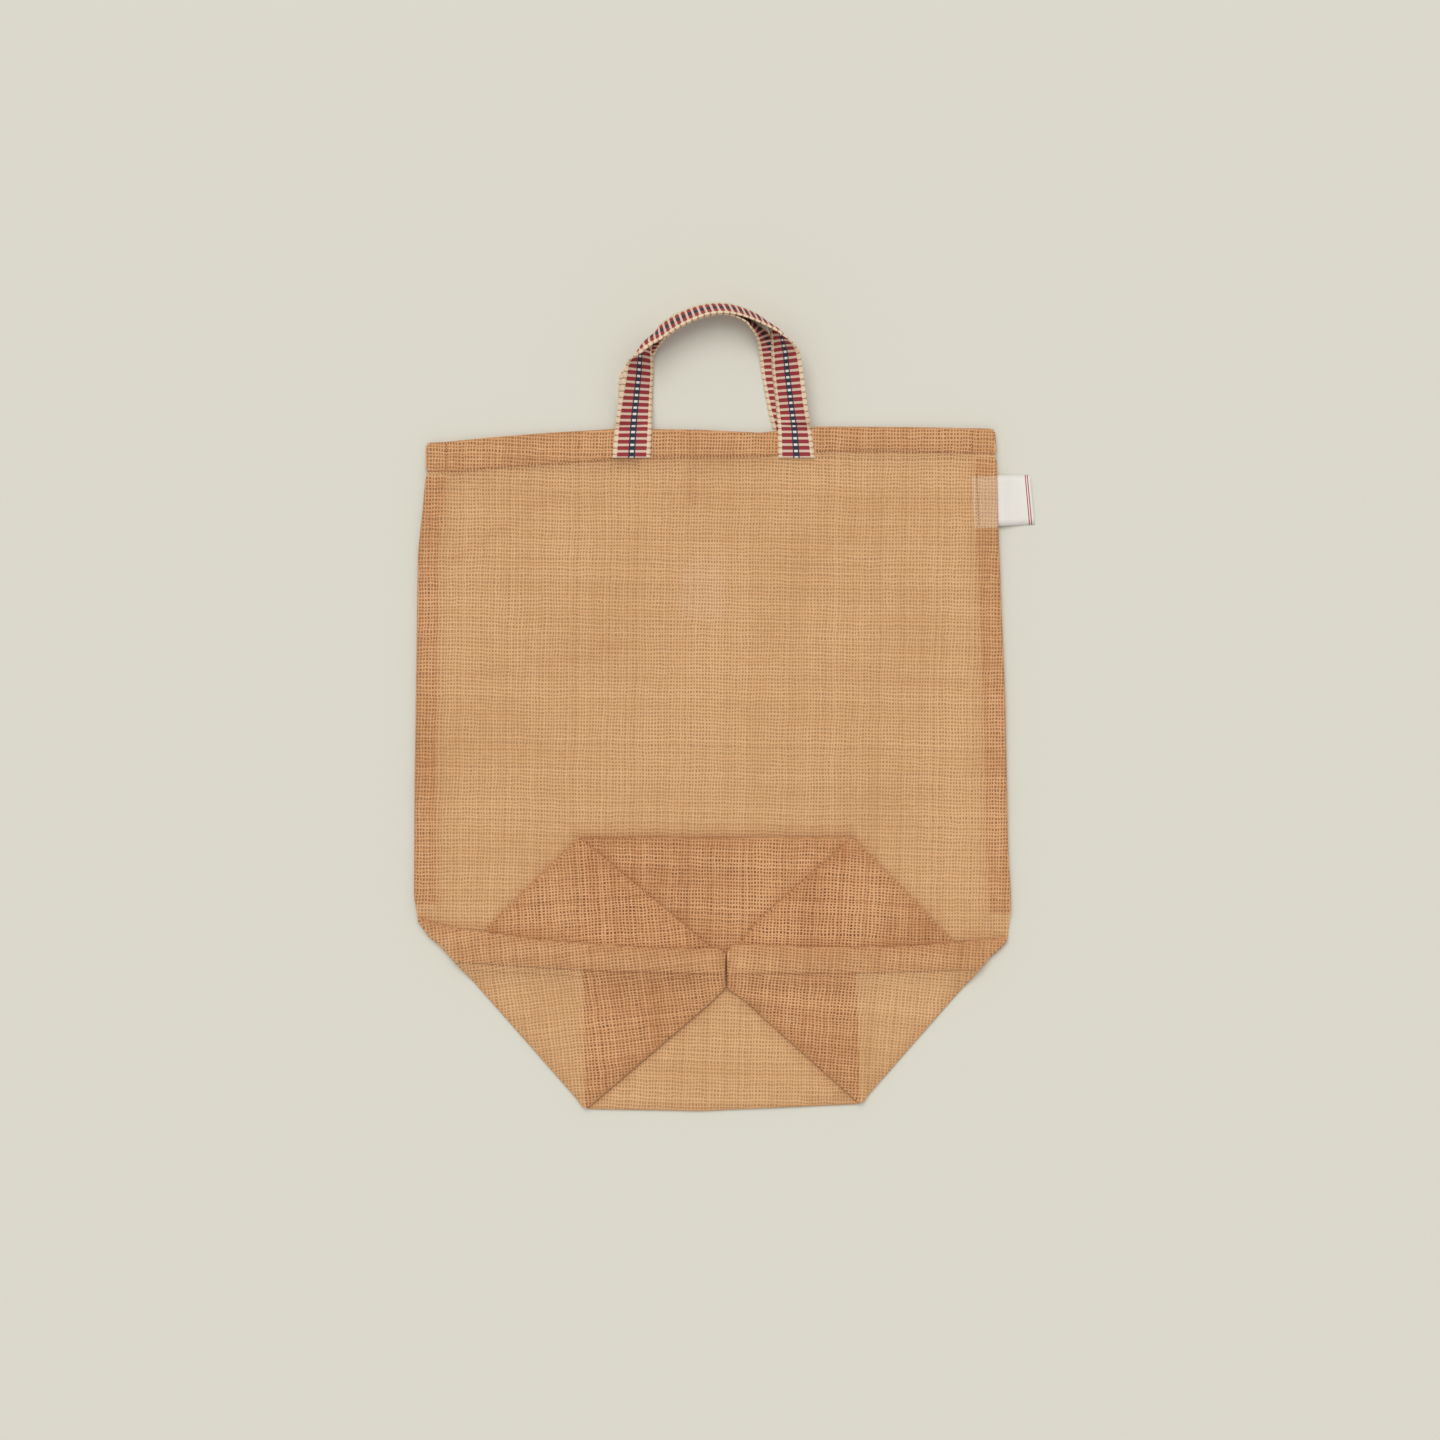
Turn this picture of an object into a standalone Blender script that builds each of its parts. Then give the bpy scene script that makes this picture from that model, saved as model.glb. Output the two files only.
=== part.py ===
"""A sheer produce bag lying on a table: cloth pouch folded at its square base, two tape handles, side label.

The bag lies in the XY plane with its mouth towards +Y and its front up. Every layer of the folded cloth
is cut from one shared plan, so the layers stack cleanly and meet along their folds.
Sizes below are millimetres; the meshes are built in metres.
"""
import math

import bmesh
import bpy
from mathutils import Vector
from mathutils.geometry import delaunay_2d_cdt

MM = 0.001
CLOTH_THICKNESS = 1.0
LAYER_PITCH = 1.3        # from the middle of one layer to the middle of the next
STEEPEST_SLOPE = 0.33    # cloth lying over the edge of a lower layer
FOLD_RADIUS = 1.3        # largest outward bulge of a fold
FOLD_RELIEF = 3.0        # length left open where several folds meet at a corner
TIP_RELIEF = 8.0         # and where the tips of the corner flaps meet
GRID_STEP = 19.0
GRID_ROW_SHARE = 0.87    # the rows of the grid lie this share of a step apart
GRID_CORNER = (-188, -250)
GRID_REACH = (380, 430)
LINE_STEP = 20.0
CLEAR_OF_LINES = 8.0

# Slack of the front cloth: the straight sides that hold it down, where it begins and is full, and its rise
SLACK_LEFT = -172.0
SLACK_RIGHT = 152.0
SLACK_TOP = 140.0
SLACK_FOOT = -80.0
SLACK_BASE_HALF = 85.0   # beyond this on either side its foot slopes down
SLACK_FOOT_SLOPE = 0.4
SLACK_START = 8.0
SLACK_FADE = 40.0
SLACK_LEAST = 0.5
SLACK_WAVE = 2.2

TAPE_WIDTH = 21.0
TAPE_THICKNESS = 1.2
TAPE_SEWN_REACH = 22.0   # how far the cloth is raised over a sewn end, from its foot
SEWN_GAP = 0.3           # between a sewn-on piece and the cloth
PAD_MARGIN = 2.0         # cloth stays raised this far around a piece under it

LABEL_THICKNESS = 0.7
LABEL_GAP = 0.3
LABEL_ABOVE_TABLE = 0.1
LABEL_PAD_INWARD = 7.0   # cloth is raised over the label this far each way from its inner end
LABEL_PAD_OUTWARD = 16.0

# Corners of the folded bag, seen from above: x, y
HEM_LEFT = (-178.5, 157.5)
HEM_RIGHT = (160.5, 165.9)
STITCH_LEFT = (-178.8, 140.7)
STITCH_RIGHT = (161.7, 151.5)
SEAM_LEFT = (-179.1, 138.5)
SEAM_RIGHT = (161.9, 149.0)
SEAM_FOOT_LEFT = (-185.6, -119.0)
SEAM_FOOT_RIGHT = (170.6, -124.0)
WAIST_LEFT = (-184.8, -126.6)
WAIST_RIGHT = (169.2, -138.8)
CREASE_LEFT = (-161.9, -152.0)
CREASE_RIGHT = (152.1, -156.5)
BASE_TOP_LEFT = (-87.3, -78.9)
BASE_TOP_RIGHT = (75.9, -78.9)
BASE_FOOT_LEFT = (-83.7, -240.9)
BASE_FOOT_RIGHT = (80.7, -237.9)
STRIP_END_LEFT = (-0.3, -147.7)
STRIP_END_RIGHT = (1.1, -146.5)
TIP_TOP_LEFT = (-0.3, -152.0)
TIP_TOP_RIGHT = (1.1, -152.0)
TIP_SEAM_LEFT = (-0.3, -159.3)
TIP_SEAM_RIGHT = (1.1, -158.7)
TIP_FOOT_LEFT = (-0.3, -168.0)
TIP_FOOT_RIGHT = (1.1, -168.0)
TIPS = (TIP_TOP_LEFT, TIP_TOP_RIGHT, STRIP_END_LEFT, STRIP_END_RIGHT)

# Edges and folds of the cloth, each from its first corner to its last
LINES = {
    "hem_top": [HEM_LEFT, (-168.5, 157.9), (-141.7, 160.6), (-105.3, 163.5), (-63.3, 165.9),
                (-15.3, 165.3), (20.7, 163.5), (56.7, 167.2), (105.0, 167.0), HEM_RIGHT],
    "hem_stitch": [STITCH_LEFT, (-157.8, 140.6), (-141.9, 142.7), (-99.3, 145.5), (-63.3, 148.5),
                   (-15.3, 149.1), (20.7, 149.7), (50.7, 152.1), (80.7, 153.3), STITCH_RIGHT],
    "hem_end_left": [HEM_LEFT, STITCH_LEFT],
    "hem_end_right": [HEM_RIGHT, STITCH_RIGHT],
    "nick_left": [STITCH_LEFT, SEAM_LEFT],
    "nick_right": [STITCH_RIGHT, SEAM_RIGHT],
    "edge_left": [SEAM_LEFT, (-180.9, 118.5), (-183.8, 91.5), (-184.5, 39.9), (-185.7, -44.1), (-186.1, -110.1),
                  SEAM_FOOT_LEFT],
    "edge_right": [SEAM_RIGHT, (162.9, 107.1), (164.7, 63.9), (167.1, 3.9), (168.9, -86.1), (170.3, -110.1),
                   SEAM_FOOT_RIGHT],
    "seam_top_left": [SEAM_LEFT, (-167.9, 138.4)],
    "seam_top_right": [SEAM_RIGHT, (149.4, 149.4)],
    "seam_left": [(-167.9, 138.4), (-169.0, 118.0), (-171.6, 95.0), (-172.3, 39.9), (-173.4, -44.1),
                  (-173.7, -110.1), (-173.3, -119.0)],
    "seam_right": [(149.4, 149.4), (150.4, 107.1), (152.2, 63.9), (154.6, 3.9), (156.4, -86.1),
                   (157.8, -110.1), (158.1, -124.0)],
    "seam_foot_left": [SEAM_FOOT_LEFT, (-173.3, -119.0)],
    "seam_foot_right": [SEAM_FOOT_RIGHT, (158.1, -124.0)],
    "waist_left": [SEAM_FOOT_LEFT, WAIST_LEFT],
    "waist_right": [SEAM_FOOT_RIGHT, WAIST_RIGHT],
    "shoulder_left": [WAIST_LEFT, (-177.2, -137.2), (-171.9, -141.6), CREASE_LEFT],
    "shoulder_right": [WAIST_RIGHT, (164.4, -144.1), (157.5, -150.1), CREASE_RIGHT],
    "side_left": [CREASE_LEFT, BASE_FOOT_LEFT],
    "side_right": [CREASE_RIGHT, BASE_FOOT_RIGHT],
    "foot": [BASE_FOOT_LEFT, (-15.3, -242.1), BASE_FOOT_RIGHT],
    "base_top": [BASE_TOP_LEFT, BASE_TOP_RIGHT],
    "base_left": [BASE_TOP_LEFT, BASE_FOOT_LEFT],
    "base_right": [BASE_TOP_RIGHT, BASE_FOOT_RIGHT],
    "turn_left": [CREASE_LEFT, (-143.7, -134.1), BASE_TOP_LEFT],
    "turn_right": [CREASE_RIGHT, (136.5, -141.0), BASE_TOP_RIGHT],
    "strip_left": [WAIST_LEFT, (-164.7, -132.9), (-123.4, -138.1), (-111.3, -140.1), (-39.3, -145.0),
                   (-4.0, -145.0), STRIP_END_LEFT],
    "strip_right": [WAIST_RIGHT, (136.9, -141.8), (104.7, -144.1), (60.3, -144.3), (4.5, -142.8), STRIP_END_RIGHT],
    "strip_seam_left": [CREASE_LEFT, (-81.3, -156.9), TIP_SEAM_LEFT],
    "strip_seam_right": [CREASE_RIGHT, (72.9, -158.7), TIP_SEAM_RIGHT],
    "crease_middle": [TIP_SEAM_LEFT, TIP_SEAM_RIGHT],
    "flap_top_left": [BASE_TOP_LEFT, (-28.6, -127.9), TIP_TOP_LEFT],
    "flap_top_right": [BASE_TOP_RIGHT, (20.7, -127.4), TIP_TOP_RIGHT],
    "flap_foot_left": [BASE_FOOT_LEFT, (-9.3, -177.2), TIP_FOOT_LEFT],
    "flap_foot_right": [BASE_FOOT_RIGHT, (12.1, -176.1), TIP_FOOT_RIGHT],
    "tip_end_left": [STRIP_END_LEFT, TIP_TOP_LEFT],
    "tip_end_right": [STRIP_END_RIGHT, TIP_TOP_RIGHT],
    "tip_upper_left": [TIP_TOP_LEFT, TIP_SEAM_LEFT],
    "tip_upper_right": [TIP_TOP_RIGHT, TIP_SEAM_RIGHT],
    "tip_lower_left": [TIP_SEAM_LEFT, TIP_FOOT_LEFT],
    "tip_lower_right": [TIP_SEAM_RIGHT, TIP_FOOT_RIGHT],
}

# Cloth layers from the table upwards: name and the lines round it ("-" runs a line backwards)
LAYERS = [
    ("back", "hem_top hem_end_right nick_right edge_right waist_right shoulder_right side_right -foot"
             " -side_left -shoulder_left -waist_left -edge_left -nick_left -hem_end_left"),
    ("back_hem", "hem_top hem_end_right -hem_stitch -hem_end_left"),
    ("back_seam_left", "seam_top_left seam_left -seam_foot_left -edge_left"),
    ("back_seam_right", "seam_top_right seam_right -seam_foot_right -edge_right"),
    ("front_seam_left", "seam_top_left seam_left -seam_foot_left -edge_left"),
    ("front_seam_right", "seam_top_right seam_right -seam_foot_right -edge_right"),
    ("front_hem", "hem_top hem_end_right -hem_stitch -hem_end_left"),
    ("front", "hem_top hem_end_right nick_right edge_right waist_right shoulder_right strip_seam_right"
              " -crease_middle -strip_seam_left -shoulder_left -waist_left -edge_left -nick_left -hem_end_left"),
    ("front_turn", "turn_left base_top -turn_right strip_seam_right -crease_middle -strip_seam_left"),
    ("base", "base_top base_right -foot -base_left"),
    ("flap_left", "flap_top_left tip_upper_left tip_lower_left -flap_foot_left -base_left"),
    ("flap_right", "flap_top_right tip_upper_right tip_lower_right -flap_foot_right -base_right"),
    ("wing_top_left", "turn_left flap_top_left tip_upper_left -strip_seam_left"),
    ("wing_top_right", "turn_right flap_top_right tip_upper_right -strip_seam_right"),
    ("strip_left", "strip_left tip_end_left tip_upper_left -strip_seam_left -shoulder_left"),
    ("strip_right", "strip_right tip_end_right tip_upper_right -strip_seam_right -shoulder_right"),
    ("wing_foot_left", "strip_left tip_end_left tip_upper_left tip_lower_left -flap_foot_left -side_left -shoulder_left"),
    ("wing_foot_right", "strip_right tip_end_right tip_upper_right tip_lower_right -flap_foot_right -side_right"
                        " -shoulder_right"),
]

# Folds: the two layers joined and the lines along which the cloth turns back on itself
FOLDS = [
    ("back", "back_hem", "hem_top"),
    ("front", "front_hem", "hem_top"),
    ("back", "front", "hem_end_left"),
    ("back", "front", "hem_end_right"),
    ("front", "front_turn", "strip_seam_left crease_middle strip_seam_right"),
    ("front_turn", "base", "base_top"),
    ("base", "back", "foot"),
]
for side in ("left", "right"):
    FOLDS += [
        ("back", f"back_seam_{side}", f"edge_{side}"),
        (f"back_seam_{side}", f"front_seam_{side}", f"seam_{side}"),
        (f"front_seam_{side}", "front", f"edge_{side}"),
        ("base", f"flap_{side}", f"base_{side}"),
        (f"flap_{side}", f"wing_top_{side}", f"flap_top_{side}"),
        (f"flap_{side}", f"wing_foot_{side}", f"flap_foot_{side}"),
        (f"wing_top_{side}", "front_turn", f"turn_{side}"),
        (f"wing_top_{side}", f"strip_{side}", f"strip_seam_{side}"),
        (f"strip_{side}", f"wing_foot_{side}", f"strip_{side}"),
        (f"wing_foot_{side}", "back", f"shoulder_{side} side_{side}"),
    ]

# Sewn ends of the handles on the hem: x from, x to, y of the sewn foot
TAPE_ENDS = [(-68.2, -47.0, 150.2), (32.2, 53.4, 151.6)]

# The label's corners in plan, the first two inside the seam, the last two outside it
LABEL = [(151.9, 138.2), (153.3, 107.6), (185.6, 109.2), (182.8, 138.9)]

# Handles, along the tape from its left sewn end: the raised edge's x and y, the low edge's x, y and height
HEM_TOP_HEIGHT = 7.6
FRONT_TAPE = [
    (-67.6, 150.3, -46.6, 149.9, HEM_TOP_HEIGHT),
    (-67.0, 164.5, -46.0, 164.5, HEM_TOP_HEIGHT),
    (-65.5, 170.0, -45.8, 170.0, 5.6),
    (-63.5, 179.7, -45.5, 180.9, 3.4),
    (-59.5, 199.9, -44.4, 201.6, 2.5),
    (-53.6, 205.4, -44.4, 207.0, 1.6),
    (-48.9, 207.4, -47.1, 210.4, 0.6),
    (-44.9, 209.3, -49.3, 214.6, 0.4),
    (-35.4, 216.7, -41.2, 224.6, 0.4),
    (-15.3, 227.2, -18.9, 237.3, 0.4),
    (-2.4, 228.6, -2.4, 240.4, 0.4),
    (10.7, 226.2, 14.0, 236.3, 0.4),
    (27.9, 218.6, 32.3, 222.8, 0.6),
    (34.8, 214.7, 36.6, 217.9, 1.4),
    (39.4, 211.4, 33.9, 213.7, 3.0),
    (43.4, 206.3, 30.3, 208.5, 4.4),
    (44.7, 200.0, 28.9, 201.6, 4.2),
    (46.8, 186.3, 30.3, 187.7, 4.0),
    (50.3, 170.2, 31.4, 170.2, 5.6),
    (52.4, 164.9, 31.5, 164.9, HEM_TOP_HEIGHT),
    (53.0, 151.9, 32.0, 151.3, HEM_TOP_HEIGHT),
]
BACK_TAPE = [
    (-67.4, 150.3, -46.4, 149.9, 0.6),
    (-66.8, 165.0, -45.8, 165.0, 0.6),
    (-66.5, 172.5, -45.5, 172.5, 0.6),
    (-64.6, 186.0, -45.0, 187.0, 0.6),
    (-61.8, 200.5, -46.0, 202.2, 0.6),
    (-56.4, 207.4, -47.8, 208.9, 0.5),
    (-52.0, 210.2, -51.0, 213.0, 0.4),
    (-47.6, 212.2, -52.8, 217.0, 0.4),
    (-37.1, 218.7, -43.0, 226.6, 0.4),
    (-16.1, 229.6, -19.8, 239.7, 0.4),
    (-2.4, 231.0, -2.4, 242.8, 0.4),
    (11.3, 228.6, 14.8, 238.7, 0.4),
    (29.8, 220.9, 34.5, 225.2, 0.4),
    (37.8, 217.6, 39.9, 220.8, 0.4),
    (43.6, 214.0, 39.2, 216.9, 0.4),
    (45.6, 208.4, 32.8, 211.4, 0.5),
    (44.6, 200.0, 24.0, 202.0, 0.6),
    (45.8, 186.0, 25.1, 187.0, 0.6),
    (50.6, 172.5, 29.6, 172.5, 0.6),
    (51.8, 165.0, 30.8, 165.0, 0.6),
    (53.0, 151.9, 32.0, 151.3, 0.6),
]


def ring(names):
    """The closed outline made by following lines end to end."""
    points = []
    for name in names.split():
        line = LINES[name.lstrip("-")]
        line = line[::-1] if name.startswith("-") else line
        points += line[1:] if points else line
    return points[:-1] if points[0] == points[-1] else points


def inside(x, y, outline):
    odd = False
    for (ax, ay), (bx, by) in zip(outline, outline[1:] + outline[:1]):
        if (ay > y) != (by > y) and x < ax + (y - ay) / (by - ay) * (bx - ax):
            odd = not odd
    return odd


def off_line(x, y, line):
    """Distance from a point to a line of straight runs."""
    best = 1e9
    for (ax, ay), (bx, by) in zip(line, line[1:]):
        dx, dy = bx - ax, by - ay
        t = max(0.0, min(1.0, ((x - ax) * dx + (y - ay) * dy) / (dx * dx + dy * dy)))
        best = min(best, math.hypot(ax + t * dx - x, ay + t * dy - y))
    return best


def divided(line, step, relief):
    """The line with points added, so that no run is longer than step, and one a little way in from each end."""
    points = []
    last = len(line) - 2
    for i, (a, b) in enumerate(zip(line, line[1:])):
        length = math.dist(a, b)
        stops = [k / max(1, round(length / step)) for k in range(max(1, round(length / step)))]
        if i == 0 and length > 2.5 * relief:
            stops = [0.0, relief / length] + [s for s in stops if s > 2 * relief / length]
        if i == last and length > 2.5 * relief:
            stops = [s for s in stops if s < 1 - 2 * relief / length] + [1 - relief / length]
        points += [(a[0] + s * (b[0] - a[0]), a[1] + s * (b[1] - a[1])) for s in stops]
    return points + [line[-1]]


def rectangle(x0, y0, x1, y1):
    return [(x0, y0), (x1, y0), (x1, y1), (x0, y1), (x0, y0)]


def wave(x, y):
    """Slack of the front cloth where nothing holds it down: long low swells that cross each other."""
    below = SLACK_FOOT - SLACK_FOOT_SLOPE * max(0.0, abs(x) - SLACK_BASE_HALF)
    fence = (x - SLACK_LEFT, SLACK_RIGHT - x, SLACK_TOP - y, y - below)
    free = min(1.0, max(0.0, (min(fence) - SLACK_START) / SLACK_FADE))
    across = 0.5 + 0.5 * math.sin(x / 44.0 + 1.4 * math.sin(y / 83.0) + 0.6)
    along = 0.5 + 0.5 * math.sin(y / 36.0 + x / 110.0 + 2.0)
    return free * (SLACK_LEAST + SLACK_WAVE * across * along)


def tape_pads():
    """Outlines on the hem, in which cloth lies on the sewn end of a handle."""
    return [rectangle(x0 - PAD_MARGIN, foot - PAD_MARGIN, x1 + PAD_MARGIN, foot + TAPE_SEWN_REACH)
            for x0, x1, foot in TAPE_ENDS]


def label_pad():
    """The outline in which cloth lies on the label's inner part."""
    (x, top), (_, foot) = LABEL[:2]
    return rectangle(x - LABEL_PAD_INWARD, foot - PAD_MARGIN, x + LABEL_PAD_OUTWARD, top + PAD_MARGIN)


def plan_of_cloth():
    """One flat triangulation that holds every edge and fold, with points between them."""
    points, runs = [], []

    def add(line):
        first = len(points)
        points.extend(Vector(p) for p in line)
        runs.extend((k, k + 1) for k in range(first, len(points) - 1))

    lines = list(LINES.values()) + tape_pads() + [label_pad()]
    for line in LINES.values():
        add(divided(line, LINE_STEP, FOLD_RELIEF))
    for pad in tape_pads() + [label_pad()]:
        add(pad)
    for row in range(int(GRID_REACH[1] / (GRID_STEP * GRID_ROW_SHARE)) + 1):
        y = GRID_CORNER[1] + row * GRID_STEP * GRID_ROW_SHARE
        for column in range(int(GRID_REACH[0] / GRID_STEP) + 1):
            x = GRID_CORNER[0] + (column + 0.5 * (row % 2)) * GRID_STEP
            if all(off_line(x, y, line) > CLEAR_OF_LINES for line in lines):
                points.append(Vector((x, y)))
    found, _, faces, _, _, _ = delaunay_2d_cdt(points, runs, [], 0, 0.02)
    return [(v.x, v.y) for v in found], [tuple(f) for f in faces]


def within(x, y, outline, reach=0.05):
    return inside(x, y, outline[:-1]) or off_line(x, y, outline) < reach


def layer_heights(points, faces):
    """Each layer's triangles and the height of its middle over each point, stacked from the table upwards."""
    ends, label = tape_pads(), label_pad()
    top = {}
    layers = {}
    for name, names in LAYERS:
        outline = ring(names)
        own = [f for f in faces if inside(sum(points[v][0] for v in f) / 3, sum(points[v][1] for v in f) / 3, outline)]
        used = sorted({v for f in own for v in f})
        height = {}
        for v in used:
            x, y = points[v]
            z = top[v] + LAYER_PITCH if v in top else CLOTH_THICKNESS / 2
            if name == "back" and any(within(x, y, pad) for pad in ends):
                z = TAPE_THICKNESS + SEWN_GAP + CLOTH_THICKNESS / 2
            if name == "front_seam_right" and within(x, y, label):
                z += LABEL_THICKNESS + LABEL_GAP
            if name == "front":
                z += wave(x, y)
            height[v] = z
        near = {(a, b) for f in own for a, b in ((f[0], f[1]), (f[1], f[2]), (f[2], f[0]))}
        near = [(a, b, math.dist(points[a], points[b])) for a, b in near | {(b, a) for a, b in near}]
        moved = True
        while moved:
            moved = False
            for a, b, length in near:
                least = height[a] - STEEPEST_SLOPE * length
                if height[b] < least - 1e-6:
                    height[b] = least
                    moved = True
        top.update(height)
        layers[name] = (own, height)
    return layers


def border(faces):
    """Edges with one triangle, each with the third corner of that triangle."""
    seen = {}
    for f in faces:
        for a, b, c in ((f[0], f[1], f[2]), (f[1], f[2], f[0]), (f[2], f[0], f[1])):
            seen.setdefault(frozenset((a, b)), []).append(c)
    return {edge: third[0] for edge, third in seen.items() if len(third) == 1}


def fold_edges(points, first, second, line):
    """Border edges of both layers that lie on the line and keep clear of its corners."""
    shared = border(first).keys() & border(second).keys()
    corners = (line[0], line[-1])
    found = []
    for edge in shared:
        a, b = (points[v] for v in edge)
        middle = ((a[0] + b[0]) / 2, (a[1] + b[1]) / 2)
        on_line = all(off_line(*p, line) < 0.06 for p in (a, b, middle))
        at_corner = any(math.dist(p, corner) < (TIP_RELIEF if corner in TIPS else 0.05)
                        for p in (a, b) for corner in corners)
        if on_line and not at_corner:
            found.append(tuple(edge))
    return found


def cloth_mesh():
    points, faces = plan_of_cloth()
    layers = layer_heights(points, faces)
    mesh = bmesh.new()
    corner = {}
    for name, (own, height) in layers.items():
        for v, z in height.items():
            corner[name, v] = mesh.verts.new((points[v][0] * MM, points[v][1] * MM, z * MM))
        for f in own:
            mesh.faces.new([corner[name, v] for v in f])
    for lower, upper, names in FOLDS:
        line = open_line(names)
        edges = fold_edges(points, layers[lower][0], layers[upper][0], line)
        third = border(layers[upper][0])
        outward = {}
        for a, b in edges:
            (ax, ay), (bx, by) = points[a], points[b]
            cx, cy = points[third[frozenset((a, b))]]
            nx, ny = by - ay, ax - bx
            if nx * (cx - ax) + ny * (cy - ay) > 0:
                nx, ny = -nx, -ny
            length = math.hypot(nx, ny)
            for v in (a, b):
                ox, oy = outward.get(v, (0.0, 0.0))
                outward[v] = (ox + nx / length, oy + ny / length)
        bend = {}
        for v, (ox, oy) in outward.items():
            low, high = sorted((layers[lower][1][v], layers[upper][1][v]))
            radius = min((high - low) / 2, FOLD_RADIUS)
            reach = 0.866 * radius / math.hypot(ox, oy)
            x, y = points[v][0] + ox * reach, points[v][1] + oy * reach
            rise = [low + radius / 2, high - radius / 2]
            if layers[lower][1][v] > layers[upper][1][v]:
                rise.reverse()
            bend[v] = [mesh.verts.new((x * MM, y * MM, z * MM)) for z in rise]
        for a, b in edges:
            left = [corner[lower, a]] + bend[a] + [corner[upper, a]]
            right = [corner[lower, b]] + bend[b] + [corner[upper, b]]
            for k in range(3):
                mesh.faces.new((left[k], right[k], right[k + 1], left[k + 1]))
    bmesh.ops.recalc_face_normals(mesh, faces=mesh.faces)
    return mesh, points, layers


def open_line(names):
    points = []
    for name in names.split():
        line = LINES[name]
        if points and math.dist(points[-1], line[0]) > 0.1:
            line = line[::-1]
        points += line[1:] if points else line
    return points


def smooth_rows(rows, parts):
    """Rows of numbers with others between them on a smooth curve through each."""
    out = []
    for i in range(len(rows) - 1):
        before, a, b, after = rows[max(i - 1, 0)], rows[i], rows[i + 1], rows[min(i + 2, len(rows) - 1)]
        for k in range(parts):
            t = k / parts
            out.append([0.5 * (2 * q + (r - p) * t + (2 * p - 5 * q + 4 * r - s) * t * t
                               + (3 * q - p - 3 * r + s) * t ** 3)
                        for p, q, r, s in zip(before, a, b, after)])
    return out + [list(rows[-1])]


def tape_mesh(rows, parts=3):
    """A flat tape that twists: one edge stays low and the other is held up by the tape's width."""
    mesh = bmesh.new()
    pairs = []
    for high_x, high_y, low_x, low_y, low_z in smooth_rows(rows, parts):
        span = math.hypot(high_x - low_x, high_y - low_y)
        rise = math.sqrt(max(0.0, TAPE_WIDTH ** 2 - span ** 2))
        pairs.append([mesh.verts.new((low_x * MM, low_y * MM, low_z * MM)),
                      mesh.verts.new((high_x * MM, high_y * MM, (low_z + rise) * MM))])
    for (a, b), (c, d) in zip(pairs, pairs[1:]):
        mesh.faces.new((a, b, d, c))
    return mesh


def label_mesh(seam_height):
    """Its inner part lies level in the seam, its outer part sinks to the table: share of its length, height."""
    table = LABEL_THICKNESS / 2 + LABEL_ABOVE_TABLE
    drop = [(0.0, seam_height), (0.36, seam_height), (0.42, seam_height), (0.60, table + 1.4), (0.78, table + 0.2),
            (1.0, table)]
    (ax, ay), (bx, by), (cx, cy), (dx, dy) = LABEL
    mesh = bmesh.new()
    pairs = [[mesh.verts.new(((ax + t * (dx - ax)) * MM, (ay + t * (dy - ay)) * MM, z * MM)),
              mesh.verts.new(((bx + t * (cx - bx)) * MM, (by + t * (cy - by)) * MM, z * MM))] for t, z in drop]
    for (a, b), (c, d) in zip(pairs, pairs[1:]):
        mesh.faces.new((a, b, d, c))
    return mesh


def solid(name, mesh, thickness, color, roughness):
    data = bpy.data.meshes.new(name)
    mesh.to_mesh(data)
    mesh.free()
    obj = bpy.data.objects.new(name, data)
    BAG.objects.link(obj)
    thicken = obj.modifiers.new("Thickness", "SOLIDIFY")
    thicken.thickness = thickness * MM
    thicken.offset = 0.0
    material = bpy.data.materials.new(name)
    material.use_nodes = True
    shader = material.node_tree.nodes["Principled BSDF"]
    shader.inputs["Base Color"].default_value = color
    shader.inputs["Roughness"].default_value = roughness
    data.materials.append(material)
    return obj


for old in list(bpy.data.objects):
    bpy.data.objects.remove(old)
BAG = bpy.data.collections.new("produce_bag")
bpy.context.scene.collection.children.link(BAG)

cloth, plan, heights = cloth_mesh()
label = label_pad()
label_height = max(z for v, z in heights["back_seam_right"][1].items() if within(*plan[v], label))
solid("bag_cloth", cloth, CLOTH_THICKNESS, (0.72, 0.42, 0.26, 1.0), 0.85)
solid("handle_front", tape_mesh(FRONT_TAPE), TAPE_THICKNESS, (0.62, 0.22, 0.2, 1.0), 0.8)
solid("handle_back", tape_mesh(BACK_TAPE), TAPE_THICKNESS, (0.62, 0.22, 0.2, 1.0), 0.8)
solid("side_label", label_mesh(label_height + (LAYER_PITCH + LABEL_THICKNESS + LABEL_GAP) / 2), LABEL_THICKNESS,
      (0.88, 0.86, 0.8, 1.0), 0.5)
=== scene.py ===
import math
import random

import bmesh
import bpy
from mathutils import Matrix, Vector
from mathutils.geometry import delaunay_2d_cdt


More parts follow.
